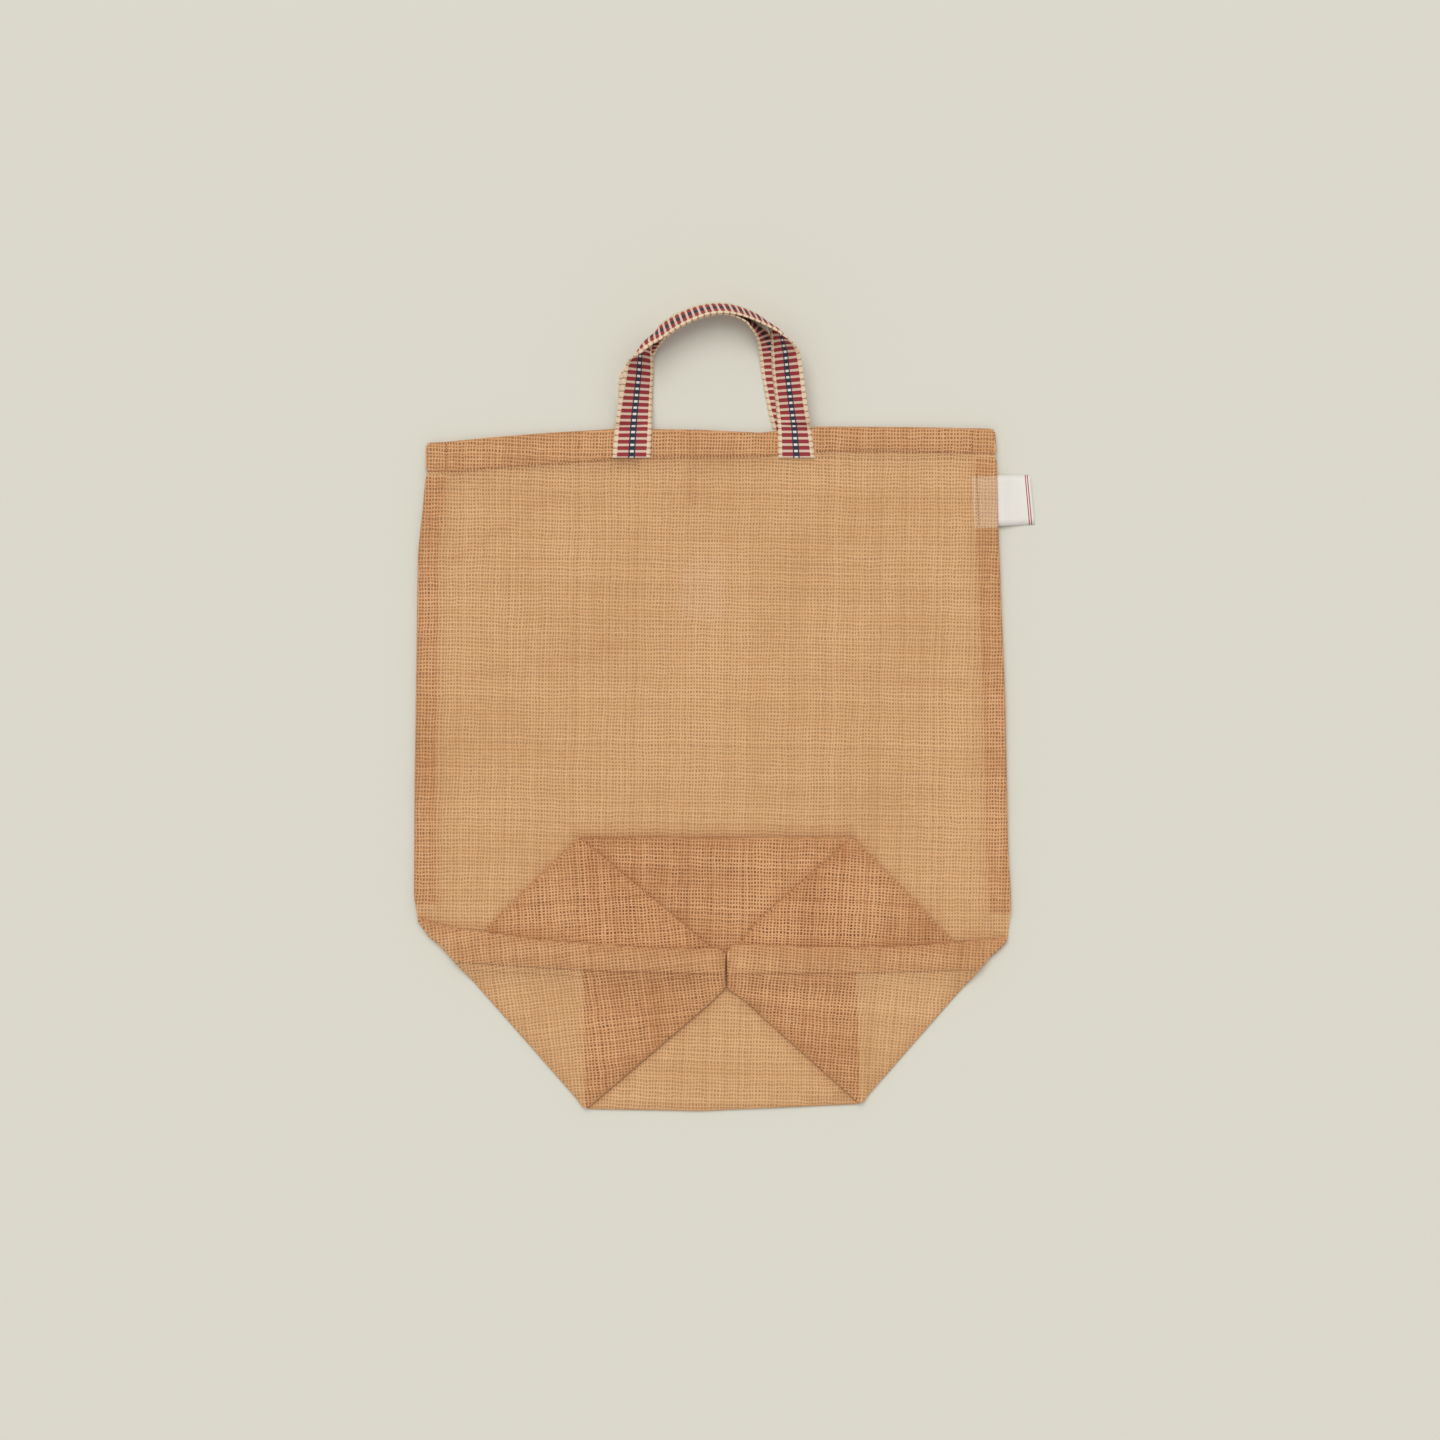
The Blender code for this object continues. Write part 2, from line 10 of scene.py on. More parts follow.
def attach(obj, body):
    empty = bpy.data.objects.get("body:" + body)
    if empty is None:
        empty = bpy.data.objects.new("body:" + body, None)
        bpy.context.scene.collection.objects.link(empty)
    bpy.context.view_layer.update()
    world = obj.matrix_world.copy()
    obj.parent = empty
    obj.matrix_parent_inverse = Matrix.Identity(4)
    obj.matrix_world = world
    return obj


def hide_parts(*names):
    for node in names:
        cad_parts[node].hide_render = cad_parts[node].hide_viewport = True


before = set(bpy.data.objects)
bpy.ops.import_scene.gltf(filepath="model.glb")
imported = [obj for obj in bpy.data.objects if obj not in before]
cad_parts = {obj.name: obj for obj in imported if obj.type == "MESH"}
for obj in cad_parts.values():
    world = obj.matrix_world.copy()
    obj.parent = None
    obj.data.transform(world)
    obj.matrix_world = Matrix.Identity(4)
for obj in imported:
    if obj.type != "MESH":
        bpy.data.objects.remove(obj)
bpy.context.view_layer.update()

# The bag's cloth: one length of sheer, loosely woven plain weave in warm tan. It is doubled, sewn up both sides
# with flat flanges and hemmed at the mouth, and its lower corners fold in over the square base until their tips
# meet. Sizes are millimetres, seen from above; every layer is cut from one shared plan, so that folds meet.
MM = 0.001
CLOTH_LIES_AT = 0.35
LAYER_PITCH = 1.0        # from one layer to the next
STEEPEST_SLOPE = 0.33    # cloth lying over the edge of a lower layer
RUFFLE_MIDDLE = 0.35
RUFFLE_SWING = 0.2
FOLD_RADIUS = 1.0        # largest outward bulge of a fold
FOLD_SHOULDER = 0.866    # share of the bulge at the two points that round it
FOLD_RELIEF = 1.5        # length left open where several folds meet at a corner
TIP_RELIEF = 4.0         # and where the tips of the corner flaps meet
GRID_STEP = 8.0
GRID_ROW_SHARE = 0.87    # the rows of the grid lie this share of a step apart
GRID_CORNER = (-188, -250)
GRID_REACH = (380, 430)
LINE_STEP = 8.0
CLEAR_OF_LINES = 3.4     # points of the grid keep this far from the lines
ON_LINE = 0.06           # a point nearer than this is on a line
AT_CORNER = 0.05
SAME_POINT = 0.02
SETTLED = 1e-6

# Where the front cloth is slack: its bounds, and how its slack starts and fades in from them
SLACK_LEFT = -172.0
SLACK_RIGHT = 152.0
SLACK_TOP = 140.0
SLACK_FOOT = -80.0
SLACK_BASE_HALF = 85.0   # beyond this on either side its foot slopes down
SLACK_FOOT_SLOPE = 0.4
SLACK_START = 8.0
SLACK_FADE = 40.0
SLACK_LEAST = 0.5
SLACK_WAVE = 2.2

# The sewn-on pieces that the cloth makes room for
TAPE_THICKNESS = 0.9
SEWN_GAP = 0.15          # between a sewn-on piece and the cloth
PAD_MARGIN = 1.5         # cloth stays raised this far around a piece under it
TAPE_SEWN_REACH = 22.0   # how far the cloth is raised over a sewn end, from its foot
LABEL_THICKNESS = 0.3
LABEL_GAP = 0.3
LABEL_PAD_INWARD = 7.0   # cloth is raised over the label this far each way from its inner end
LABEL_PAD_OUTWARD = 16.0

# Corners of the folded bag, seen from above: x, y
HEM_LEFT = (-178.5, 157.5)
HEM_RIGHT = (160.5, 165.9)
STITCH_LEFT = (-178.8, 140.7)
STITCH_RIGHT = (161.7, 151.5)
SEAM_LEFT = (-179.1, 138.5)
SEAM_RIGHT = (161.9, 149.0)
SEAM_FOOT_LEFT = (-185.6, -119.0)
SEAM_FOOT_RIGHT = (170.6, -124.0)
WAIST_LEFT = (-184.8, -126.6)
WAIST_RIGHT = (169.2, -138.8)
CREASE_LEFT = (-161.9, -152.0)
CREASE_RIGHT = (152.1, -156.5)
BASE_TOP_LEFT = (-87.3, -78.9)
BASE_TOP_RIGHT = (75.9, -78.9)
BASE_FOOT_LEFT = (-83.7, -240.9)
BASE_FOOT_RIGHT = (80.7, -237.9)
STRIP_END_LEFT = (-0.3, -147.7)
STRIP_END_RIGHT = (1.1, -146.5)
TIP_TOP_LEFT = (-0.3, -152.0)
TIP_TOP_RIGHT = (1.1, -152.0)
TIP_SEAM_LEFT = (-0.3, -159.3)
TIP_SEAM_RIGHT = (1.1, -158.7)
TIP_FOOT_LEFT = (-0.3, -168.0)
TIP_FOOT_RIGHT = (1.1, -168.0)
TIPS = (TIP_TOP_LEFT, TIP_TOP_RIGHT, STRIP_END_LEFT, STRIP_END_RIGHT)

# Edges and folds of the cloth, each from its first corner to its last
LINES = {
    "hem_top": [HEM_LEFT, (-168.5, 157.9), (-141.7, 160.6), (-105.3, 163.5), (-63.3, 165.9),
                (-15.3, 165.3), (20.7, 163.5), (56.7, 167.2), (105.0, 167.0), HEM_RIGHT],
    "hem_stitch": [STITCH_LEFT, (-157.8, 140.6), (-141.9, 142.7), (-99.3, 145.5), (-63.3, 148.5),
                   (-15.3, 149.1), (20.7, 149.7), (50.7, 152.1), (80.7, 153.3), STITCH_RIGHT],
    "hem_end_left": [HEM_LEFT, STITCH_LEFT],
    "hem_end_right": [HEM_RIGHT, STITCH_RIGHT],
    "nick_left": [STITCH_LEFT, SEAM_LEFT],
    "nick_right": [STITCH_RIGHT, SEAM_RIGHT],
    "edge_left": [SEAM_LEFT, (-180.9, 118.5), (-183.8, 91.5), (-184.5, 39.9), (-185.7, -44.1), (-186.1, -110.1),
                  SEAM_FOOT_LEFT],
    "edge_right": [SEAM_RIGHT, (162.9, 107.1), (164.7, 63.9), (167.1, 3.9), (168.9, -86.1), (170.3, -110.1),
                   SEAM_FOOT_RIGHT],
    "seam_top_left": [SEAM_LEFT, (-167.9, 138.4)],
    "seam_top_right": [SEAM_RIGHT, (149.4, 149.4)],
    "seam_left": [(-167.9, 138.4), (-169.0, 118.0), (-171.6, 95.0), (-172.3, 39.9), (-173.4, -44.1),
                  (-173.7, -110.1), (-173.3, -119.0)],
    "seam_right": [(149.4, 149.4), (150.4, 107.1), (152.2, 63.9), (154.6, 3.9), (156.4, -86.1),
                   (157.8, -110.1), (158.1, -124.0)],
    "seam_foot_left": [SEAM_FOOT_LEFT, (-173.3, -119.0)],
    "seam_foot_right": [SEAM_FOOT_RIGHT, (158.1, -124.0)],
    "waist_left": [SEAM_FOOT_LEFT, WAIST_LEFT],
    "waist_right": [SEAM_FOOT_RIGHT, WAIST_RIGHT],
    "shoulder_left": [WAIST_LEFT, (-177.2, -137.2), (-171.9, -141.6), CREASE_LEFT],
    "shoulder_right": [WAIST_RIGHT, (164.4, -144.1), (157.5, -150.1), CREASE_RIGHT],
    "side_left": [CREASE_LEFT, BASE_FOOT_LEFT],
    "side_right": [CREASE_RIGHT, BASE_FOOT_RIGHT],
    "foot": [BASE_FOOT_LEFT, (-15.3, -242.1), BASE_FOOT_RIGHT],
    "base_top": [BASE_TOP_LEFT, BASE_TOP_RIGHT],
    "base_left": [BASE_TOP_LEFT, BASE_FOOT_LEFT],
    "base_right": [BASE_TOP_RIGHT, BASE_FOOT_RIGHT],
    "turn_left": [CREASE_LEFT, (-143.7, -134.1), BASE_TOP_LEFT],
    "turn_right": [CREASE_RIGHT, (136.5, -141.0), BASE_TOP_RIGHT],
    "strip_left": [WAIST_LEFT, (-164.7, -132.9), (-123.4, -138.1), (-111.3, -140.1), (-39.3, -145.0),
                   (-4.0, -145.0), STRIP_END_LEFT],
    "strip_right": [WAIST_RIGHT, (136.9, -141.8), (104.7, -144.1), (60.3, -144.3), (4.5, -142.8), STRIP_END_RIGHT],
    "strip_seam_left": [CREASE_LEFT, (-81.3, -156.9), TIP_SEAM_LEFT],
    "strip_seam_right": [CREASE_RIGHT, (72.9, -158.7), TIP_SEAM_RIGHT],
    "crease_middle": [TIP_SEAM_LEFT, TIP_SEAM_RIGHT],
    "flap_top_left": [BASE_TOP_LEFT, (-28.6, -127.9), TIP_TOP_LEFT],
    "flap_top_right": [BASE_TOP_RIGHT, (20.7, -127.4), TIP_TOP_RIGHT],
    "flap_foot_left": [BASE_FOOT_LEFT, (-9.3, -177.2), TIP_FOOT_LEFT],
    "flap_foot_right": [BASE_FOOT_RIGHT, (12.1, -176.1), TIP_FOOT_RIGHT],
    "tip_end_left": [STRIP_END_LEFT, TIP_TOP_LEFT],
    "tip_end_right": [STRIP_END_RIGHT, TIP_TOP_RIGHT],
    "tip_upper_left": [TIP_TOP_LEFT, TIP_SEAM_LEFT],
    "tip_upper_right": [TIP_TOP_RIGHT, TIP_SEAM_RIGHT],
    "tip_lower_left": [TIP_SEAM_LEFT, TIP_FOOT_LEFT],
    "tip_lower_right": [TIP_SEAM_RIGHT, TIP_FOOT_RIGHT],
}

def both_sides(name, lines):
    """A layer on the left and its match on the right, each inside lines of its own side."""
    return [(f"{name}_{side}", " ".join(f"{line}_{side}" for line in lines.split())) for side in ("left", "right")]


# Cloth layers from the table upwards: name and the lines round it ("-" runs a line backwards)
HEM = "hem_top hem_end_right -hem_stitch -hem_end_left"
SEAM = "seam_top seam -seam_foot -edge"
LAYERS = [
    ("back", "hem_top hem_end_right nick_right edge_right waist_right shoulder_right side_right -foot"
             " -side_left -shoulder_left -waist_left -edge_left -nick_left -hem_end_left"),
    ("back_hem", HEM),
    *both_sides("back_seam", SEAM),
    *both_sides("front_seam", SEAM),
    ("front_hem", HEM),
    ("front", "hem_top hem_end_right nick_right edge_right waist_right shoulder_right strip_seam_right"
              " -crease_middle -strip_seam_left -shoulder_left -waist_left -edge_left -nick_left -hem_end_left"),
    ("front_turn", "turn_left base_top -turn_right strip_seam_right -crease_middle -strip_seam_left"),
    ("base", "base_top base_right -foot -base_left"),
    *both_sides("flap", "flap_top tip_upper tip_lower -flap_foot -base"),
    *both_sides("wing_top", "turn flap_top tip_upper -strip_seam"),
    *both_sides("strip", "strip tip_end tip_upper -strip_seam -shoulder"),
    *both_sides("wing_foot", "strip tip_end tip_upper tip_lower -flap_foot -side -shoulder"),
]

# Folds: the two layers joined and the lines along which the cloth turns back on itself
FOLDS = [
    ("back", "back_hem", "hem_top"),
    ("front", "front_hem", "hem_top"),
    ("back", "front", "hem_end_left"),
    ("back", "front", "hem_end_right"),
    ("front", "front_turn", "strip_seam_left crease_middle strip_seam_right"),
    ("front_turn", "base", "base_top"),
    ("base", "back", "foot"),
]
for side in ("left", "right"):
    FOLDS += [
        ("back", f"back_seam_{side}", f"edge_{side}"),
        (f"back_seam_{side}", f"front_seam_{side}", f"seam_{side}"),
        (f"front_seam_{side}", "front", f"edge_{side}"),
        ("base", f"flap_{side}", f"base_{side}"),
        (f"flap_{side}", f"wing_top_{side}", f"flap_top_{side}"),
        (f"flap_{side}", f"wing_foot_{side}", f"flap_foot_{side}"),
        (f"wing_top_{side}", "front_turn", f"turn_{side}"),
        (f"wing_top_{side}", f"strip_{side}", f"strip_seam_{side}"),
        (f"strip_{side}", f"wing_foot_{side}", f"strip_{side}"),
        (f"wing_foot_{side}", "back", f"shoulder_{side} side_{side}"),
    ]

# Sewn ends of the handles on the hem: x from, x to, y of the sewn foot
TAPE_ENDS = [(-68.2, -47.0, 150.2), (32.2, 53.4, 151.6)]

# The label's corners in plan, the first two inside the seam, the last two outside it
LABEL = [(151.9, 138.2), (153.3, 107.6), (185.6, 109.2), (182.8, 138.9)]

# Where the label's inner part shows through the cloth, and where the front panel is coloured a little paler
LABEL_SHOWS = [(147.4, 137.4), (149.2, 106.8), (165.5, 107.0), (164.5, 138.0), (147.4, 137.4)]
PALE_FROM = (-28.0, 51.0)
PALE_TO = (-3.0, 86.0)

# How strongly painted shade darkens the cloth along its folds and edges, where it doubles over; under 0 it is paler
FOLD_SHADES = [
    (1.0, "base_top crease_middle tip_upper_left tip_upper_right"),
    (0.8, "strip_left strip_right tip_lower_left tip_lower_right"),
    (0.6, "flap_top_left flap_top_right flap_foot_left flap_foot_right hem_stitch"),
    (0.45, "turn_left turn_right"),
    (0.35, "edge_left edge_right seam_left seam_right hem_top side_left side_right foot"),
    (0.3, "strip_seam_left strip_seam_right"),
]
PALE_SHADE = -0.3
LABEL_SHADE = -1.0

# Soft creases left in the front panel, drawn as lines of painted shade: shade, from, to
CREASES = [
    (0.5, (-22.5, 139.0), (-18.5, 122.5)),
    (0.3, (-20.5, 164.8), (-21.5, 151.0)),
    (0.3, (-164.0, 88.0), (-99.0, 128.0)),
    (0.25, (-150.0, 20.0), (-60.0, 34.0)),
    (0.25, (60.0, 25.0), (140.0, 12.0)),
]


def ring(names):
    """The closed outline made by following lines end to end."""
    points = []
    for name in names.split():
        line = LINES[name.lstrip("-")]
        line = line[::-1] if name.startswith("-") else line
        points += line[1:] if points else line
    return points[:-1] if points[0] == points[-1] else points


def inside(x, y, outline):
    """Whether a point lies inside an outline: a ray from it crosses the outline an odd number of times."""
    odd = False
    for (ax, ay), (bx, by) in zip(outline, outline[1:] + outline[:1]):
        if (ay > y) != (by > y) and x < ax + (y - ay) / (by - ay) * (bx - ax):
            odd = not odd
    return odd


def off_line(x, y, line):
    """Distance from a point to a line of straight runs."""
    best = 1e9
    for (ax, ay), (bx, by) in zip(line, line[1:]):
        dx, dy = bx - ax, by - ay
        t = max(0.0, min(1.0, ((x - ax) * dx + (y - ay) * dy) / (dx * dx + dy * dy)))
        best = min(best, math.hypot(ax + t * dx - x, ay + t * dy - y))
    return best


def divided(line, step, relief):
    """The line with points added, so that no run is longer than step, and one a little way in from each end."""
    points = []
    last = len(line) - 2
    for i, (a, b) in enumerate(zip(line, line[1:])):
        length = math.dist(a, b)
        stops = [k / max(1, round(length / step)) for k in range(max(1, round(length / step)))]
        if i == 0 and length > 2.5 * relief:
            stops = [0.0, relief / length] + [s for s in stops if s > 2 * relief / length]
        if i == last and length > 2.5 * relief:
            stops = [s for s in stops if s < 1 - 2 * relief / length] + [1 - relief / length]
        points += [(a[0] + s * (b[0] - a[0]), a[1] + s * (b[1] - a[1])) for s in stops]
    return points + [line[-1]]


def rectangle(x0, y0, x1, y1):
    return [(x0, y0), (x1, y0), (x1, y1), (x0, y1), (x0, y0)]


def wave(x, y):
    """Slack of the front cloth where nothing holds it down: long low swells that cross each other."""
    below = SLACK_FOOT - SLACK_FOOT_SLOPE * max(0.0, abs(x) - SLACK_BASE_HALF)
    fence = (x - SLACK_LEFT, SLACK_RIGHT - x, SLACK_TOP - y, y - below)
    free = min(1.0, max(0.0, (min(fence) - SLACK_START) / SLACK_FADE))
    across = 0.5 + 0.5 * math.sin(x / 44.0 + 1.4 * math.sin(y / 83.0) + 0.6)
    along = 0.5 + 0.5 * math.sin(y / 36.0 + x / 110.0 + 2.0)
    return free * (SLACK_LEAST + SLACK_WAVE * across * along)


def ruffle(x, y):
    """The small unevenness of limp cloth that has been folded before: short swells that cross each other."""
    across = math.sin(x / 11.0 + math.sin(y / 17.0))
    along = math.sin(y / 13.0 + 1.3 * math.sin(x / 23.0))
    return RUFFLE_MIDDLE + RUFFLE_SWING * across * along


def tape_pads():
    """Outlines on the hem, in which cloth lies on the sewn end of a handle."""
    return [rectangle(x0 - PAD_MARGIN, foot - PAD_MARGIN, x1 + PAD_MARGIN, foot + TAPE_SEWN_REACH)
            for x0, x1, foot in TAPE_ENDS]


def label_pad():
    """The outline in which cloth lies on the label's inner part."""
    (x, top), (_, foot) = LABEL[:2]
    return rectangle(x - LABEL_PAD_INWARD, foot - PAD_MARGIN, x + LABEL_PAD_OUTWARD, top + PAD_MARGIN)


def plan_of_cloth():
    """One flat triangulation that holds every edge and fold, with points between them."""
    points, runs = [], []

    def add(line):
        first = len(points)
        points.extend(Vector(p) for p in line)
        runs.extend((k, k + 1) for k in range(first, len(points) - 1))

    creases = [divided([start, end], LINE_STEP, FOLD_RELIEF) for _, start, end in CREASES]
    marks = tape_pads() + [label_pad(), LABEL_SHOWS] + creases
    lines = list(LINES.values()) + marks
    for line in LINES.values():
        add(divided(line, LINE_STEP, FOLD_RELIEF))
    for mark in marks:
        add(mark)
    for row in range(int(GRID_REACH[1] / (GRID_STEP * GRID_ROW_SHARE)) + 1):
        y = GRID_CORNER[1] + row * GRID_STEP * GRID_ROW_SHARE
        for column in range(int(GRID_REACH[0] / GRID_STEP) + 1):
            x = GRID_CORNER[0] + (column + 0.5 * (row % 2)) * GRID_STEP
            if all(off_line(x, y, line) > CLEAR_OF_LINES for line in lines):
                points.append(Vector((x, y)))
    found, _, faces, _, _, _ = delaunay_2d_cdt(points, runs, [], 0, SAME_POINT)
    return [(v.x, v.y) for v in found], [tuple(f) for f in faces]


def within(x, y, outline):
    return inside(x, y, outline[:-1]) or off_line(x, y, outline) < AT_CORNER


def middle_of(face, points):
    return (sum(points[v][0] for v in face) / 3, sum(points[v][1] for v in face) / 3)


def layer_heights(points, faces):
    """Each layer's triangles and the height of its middle over each point, stacked from the table upwards."""
    ends, label = tape_pads(), label_pad()
    top = {}
    layers = {}
    for name, names in LAYERS:
        outline = ring(names)
        own = [f for f in faces if inside(*middle_of(f, points), outline)]
        used = sorted({v for f in own for v in f})
        height = {}
        for v in used:
            x, y = points[v]
            z = top[v] + LAYER_PITCH if v in top else CLOTH_LIES_AT + ruffle(x, y)
            if name == "back" and any(within(x, y, pad) for pad in ends):
                z = TAPE_THICKNESS + 2 * SEWN_GAP + CLOTH_LIES_AT
            if name == "front_seam_right" and within(x, y, label):
                z += LABEL_THICKNESS + LABEL_GAP
            if name == "front":
                z += wave(x, y)
            height[v] = z
        near = {(a, b) for f in own for a, b in ((f[0], f[1]), (f[1], f[2]), (f[2], f[0]))}
        near = [(a, b, math.dist(points[a], points[b])) for a, b in near | {(b, a) for a, b in near}]
        moved = True
        while moved:
            moved = False
            for a, b, length in near:
                least = height[a] - STEEPEST_SLOPE * length
                if height[b] < least - SETTLED:
                    height[b] = least
                    moved = True
        top.update(height)
        layers[name] = (own, height)
    return layers


def border(faces):
    """Edges with one triangle, each with the third corner of that triangle."""
    seen = {}
    for f in faces:
        for a, b, c in ((f[0], f[1], f[2]), (f[1], f[2], f[0]), (f[2], f[0], f[1])):
            seen.setdefault(frozenset((a, b)), []).append(c)
    return {edge: third[0] for edge, third in seen.items() if len(third) == 1}


def fold_edges(points, first, second, line):
    """Border edges of both layers that lie on the line and keep clear of its corners."""
    shared = border(first).keys() & border(second).keys()
    corners = (line[0], line[-1])
    found = []
    for edge in shared:
        a, b = (points[v] for v in edge)
        middle = ((a[0] + b[0]) / 2, (a[1] + b[1]) / 2)
        on_line = all(off_line(*p, line) < ON_LINE for p in (a, b, middle))
        at_corner = any(math.dist(p, corner) < (TIP_RELIEF if corner in TIPS else AT_CORNER)
                        for p in (a, b) for corner in corners)
        if on_line and not at_corner:
            found.append(tuple(edge))
    return found


# The threads that run up the bag lie closer than those across it; the folded-in corners show them turned, and
# each layer's threads are moved on from those of the layer below
WARP_PITCH = 1.78
WEFT_PITCH = 2.12
FIRST_THREAD = 200.0
WARP_MOVES_ON = 31.37
WEFT_MOVES_ON = 23.61
ROUND_A_FOLD = 0.3       # threads from one row of a fold's points to the next
WEAVE_SLANT = {"back": 1.5, "front": -1.0, "front_hem": 2.5, "front_turn": 1.0, "base": -1.5, "flap_left": 93.0,
               "flap_right": 87.0, "wing_top_left": 94.0, "wing_top_right": 87.0, "strip_left": 93.0,
               "strip_right": 88.0, "wing_foot_left": 97.0, "wing_foot_right": 85.0}

# How deep the cloth's colour is, from its stacked tinted layers and painted shade between them: in the strips, in
# the hem and seams, and by the number of layers elsewhere
STRIP_DEEPNESS = 0.55
SEAM_DEEPNESS = 0.65
STACK_DEEPNESS = {1: 0.0, 2: 0.0, 3: 0.45, 4: 0.85}
MOST_DEEPNESS = 1.0


def threads(x, y, slant, layer):
    """Where a point lies in the weave, counted in threads."""
    turn = math.radians(slant)
    u = x * math.cos(turn) + y * math.sin(turn)
    v = y * math.cos(turn) - x * math.sin(turn)
    return (u / WARP_PITCH + FIRST_THREAD + WARP_MOVES_ON * layer,
            v / WEFT_PITCH + FIRST_THREAD + WEFT_MOVES_ON * layer)


def deepness(stack):
    """How deep the cloth's colour is where these layers lie on each other, painted shade between them included: 0
    for the two of the bag's panels.
    """
    if any(name.startswith("strip") for name in stack):
        return STRIP_DEEPNESS
    if any("hem" in name or "seam" in name for name in stack):
        return SEAM_DEEPNESS
    return STACK_DEEPNESS.get(len(stack), MOST_DEEPNESS)


def fold_shade(x, y):
    """How much painted shade darkens the cloth at this point: 1 on its sharpest folds, less on edges, under 0 where
    paler.
    """
    shade = 0.0
    for share, names in FOLD_SHADES:
        if share > shade and any(off_line(x, y, LINES[name]) < ON_LINE for name in names.split()):
            shade = share
    for share, start, end in CREASES:
        if share > shade and off_line(x, y, [start, end]) < ON_LINE:
            shade = share
    if shade == 0.0 and PALE_FROM[0] < x < PALE_TO[0] and PALE_FROM[1] < y < PALE_TO[1]:
        shade = PALE_SHADE
    return shade


def outward_of_fold(points, edges, third):
    """For each point along a fold, the way in which the fold bulges: away from the cloth beside its edges."""
    outward = {}
    for a, b in edges:
        (ax, ay), (bx, by) = points[a], points[b]
        cx, cy = points[third[frozenset((a, b))]]
        nx, ny = by - ay, ax - bx
        if nx * (cx - ax) + ny * (cy - ay) > 0:
            nx, ny = -nx, -ny
        length = math.hypot(nx, ny)
        for v in (a, b):
            ox, oy = outward.get(v, (0.0, 0.0))
            outward[v] = (ox + nx / length, oy + ny / length)
    return outward


def cloth_mesh():
    """Every layer of the cloth and the rounded folds that join them, with its weave and its painted shade at each
    point.
    """
    points, faces = plan_of_cloth()
    shades = [fold_shade(x, y) for x, y in points]
    order = {name: k for k, (name, _) in enumerate(LAYERS)}
    layers = layer_heights(points, faces)
    mesh = bmesh.new()
    weave = mesh.loops.layers.uv.new("weave")
    # the depth map carries the colour's depth and the painted shade along folds and creases
    depth = mesh.loops.layers.uv.new("depth")
    stacks = {}
    for name, (own, _) in layers.items():
        for f in own:
            stacks.setdefault(frozenset(f), []).append(name)
    corner = {}
    for name, (own, height) in layers.items():
        for v, z in height.items():
            corner[name, v] = mesh.verts.new((points[v][0] * MM, points[v][1] * MM, z * MM))
        slant = WEAVE_SLANT.get(name, 0.0)
        for f in own:
            face = mesh.faces.new([corner[name, v] for v in f])
            over_label = inside(*middle_of(f, points), LABEL_SHOWS[:-1])
            for loop, v in zip(face.loops, f):
                loop[weave].uv = threads(*points[v], slant, order[name])
                loop[depth].uv = (deepness(stacks[frozenset(f)]), LABEL_SHADE if over_label else shades[v])
    for lower, upper, names in FOLDS:
        line = open_line(names)
        edges = fold_edges(points, layers[lower][0], layers[upper][0], line)
        third = border(layers[upper][0])
        bend = {}
        for v, (ox, oy) in outward_of_fold(points, edges, third).items():
            low, high = sorted((layers[lower][1][v], layers[upper][1][v]))
            radius = min((high - low) / 2, FOLD_RADIUS)
            reach = FOLD_SHOULDER * radius / math.hypot(ox, oy)
            x, y = points[v][0] + ox * reach, points[v][1] + oy * reach
            rise = [low + radius / 2, high - radius / 2]
            if layers[lower][1][v] > layers[upper][1][v]:
                rise.reverse()
            bend[v] = [mesh.verts.new((x * MM, y * MM, z * MM)) for z in rise]
        slant = WEAVE_SLANT.get(upper, 0.0)
        for a, b in edges:
            left = [corner[lower, a]] + bend[a] + [corner[upper, a]]
            right = [corner[lower, b]] + bend[b] + [corner[upper, b]]
            deep = deepness(stacks[frozenset((a, b, third[frozenset((a, b))]))])
            for k in range(len(left) - 1):
                face = mesh.faces.new((left[k], right[k], right[k + 1], left[k + 1]))
                for loop, v, step in zip(face.loops, (a, b, b, a), (k, k, k + 1, k + 1)):
                    u, w = threads(*points[v], slant, order[upper])
                    loop[weave].uv = (u + ROUND_A_FOLD * step, w + ROUND_A_FOLD * step)
                    loop[depth].uv = (deep, shades[v])
    bmesh.ops.recalc_face_normals(mesh, faces=mesh.faces)
    return mesh, points, layers


def open_line(names):
    """Lines that follow each other as one, each turned round where it has to be."""
    points = []
    for name in names.split():
        line = LINES[name]
        if points and math.dist(points[-1], line[0]) > 0.1:
            line = line[::-1]
        points += line[1:] if points else line
    return points


def put_in_scene(name, mesh, materials):
    """Makes the mesh a smooth shaded object with these materials."""
    data = bpy.data.meshes.new(name)
    mesh.to_mesh(data)
    mesh.free()
    data.shade_smooth()
    for material in materials:
        data.materials.append(material)
    placed = bpy.data.objects.new(name, data)
    bpy.context.scene.collection.objects.link(placed)
    return placed


def new_piece(name, mesh, materials):
    """Makes the mesh a piece of the bag, which lies with the rest of it."""
    piece = put_in_scene(name, mesh, materials)
    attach(piece, "root")
    return piece


def thicken(piece, thickness):
    """Gives the piece its thickness, half to each side, with its last material on the wrong side."""
    solid = piece.modifiers.new("Thickness", "SOLIDIFY")
    solid.thickness = thickness * MM
    solid.offset = 0.0
    solid.material_offset = len(piece.data.materials) - 1


def join_rows(mesh, rows, pattern):
    """Faces between neighbouring rows of points; each point carries its place in the surface's pattern."""
    for first, second in zip(rows, rows[1:]):
        for k in range(len(first) - 1):
            corners = (first[k], second[k], second[k + 1], first[k + 1])
            face = mesh.faces.new([c[0] for c in corners])
            for loop, c in zip(face.loops, corners):
                loop[pattern].uv = c[1:]


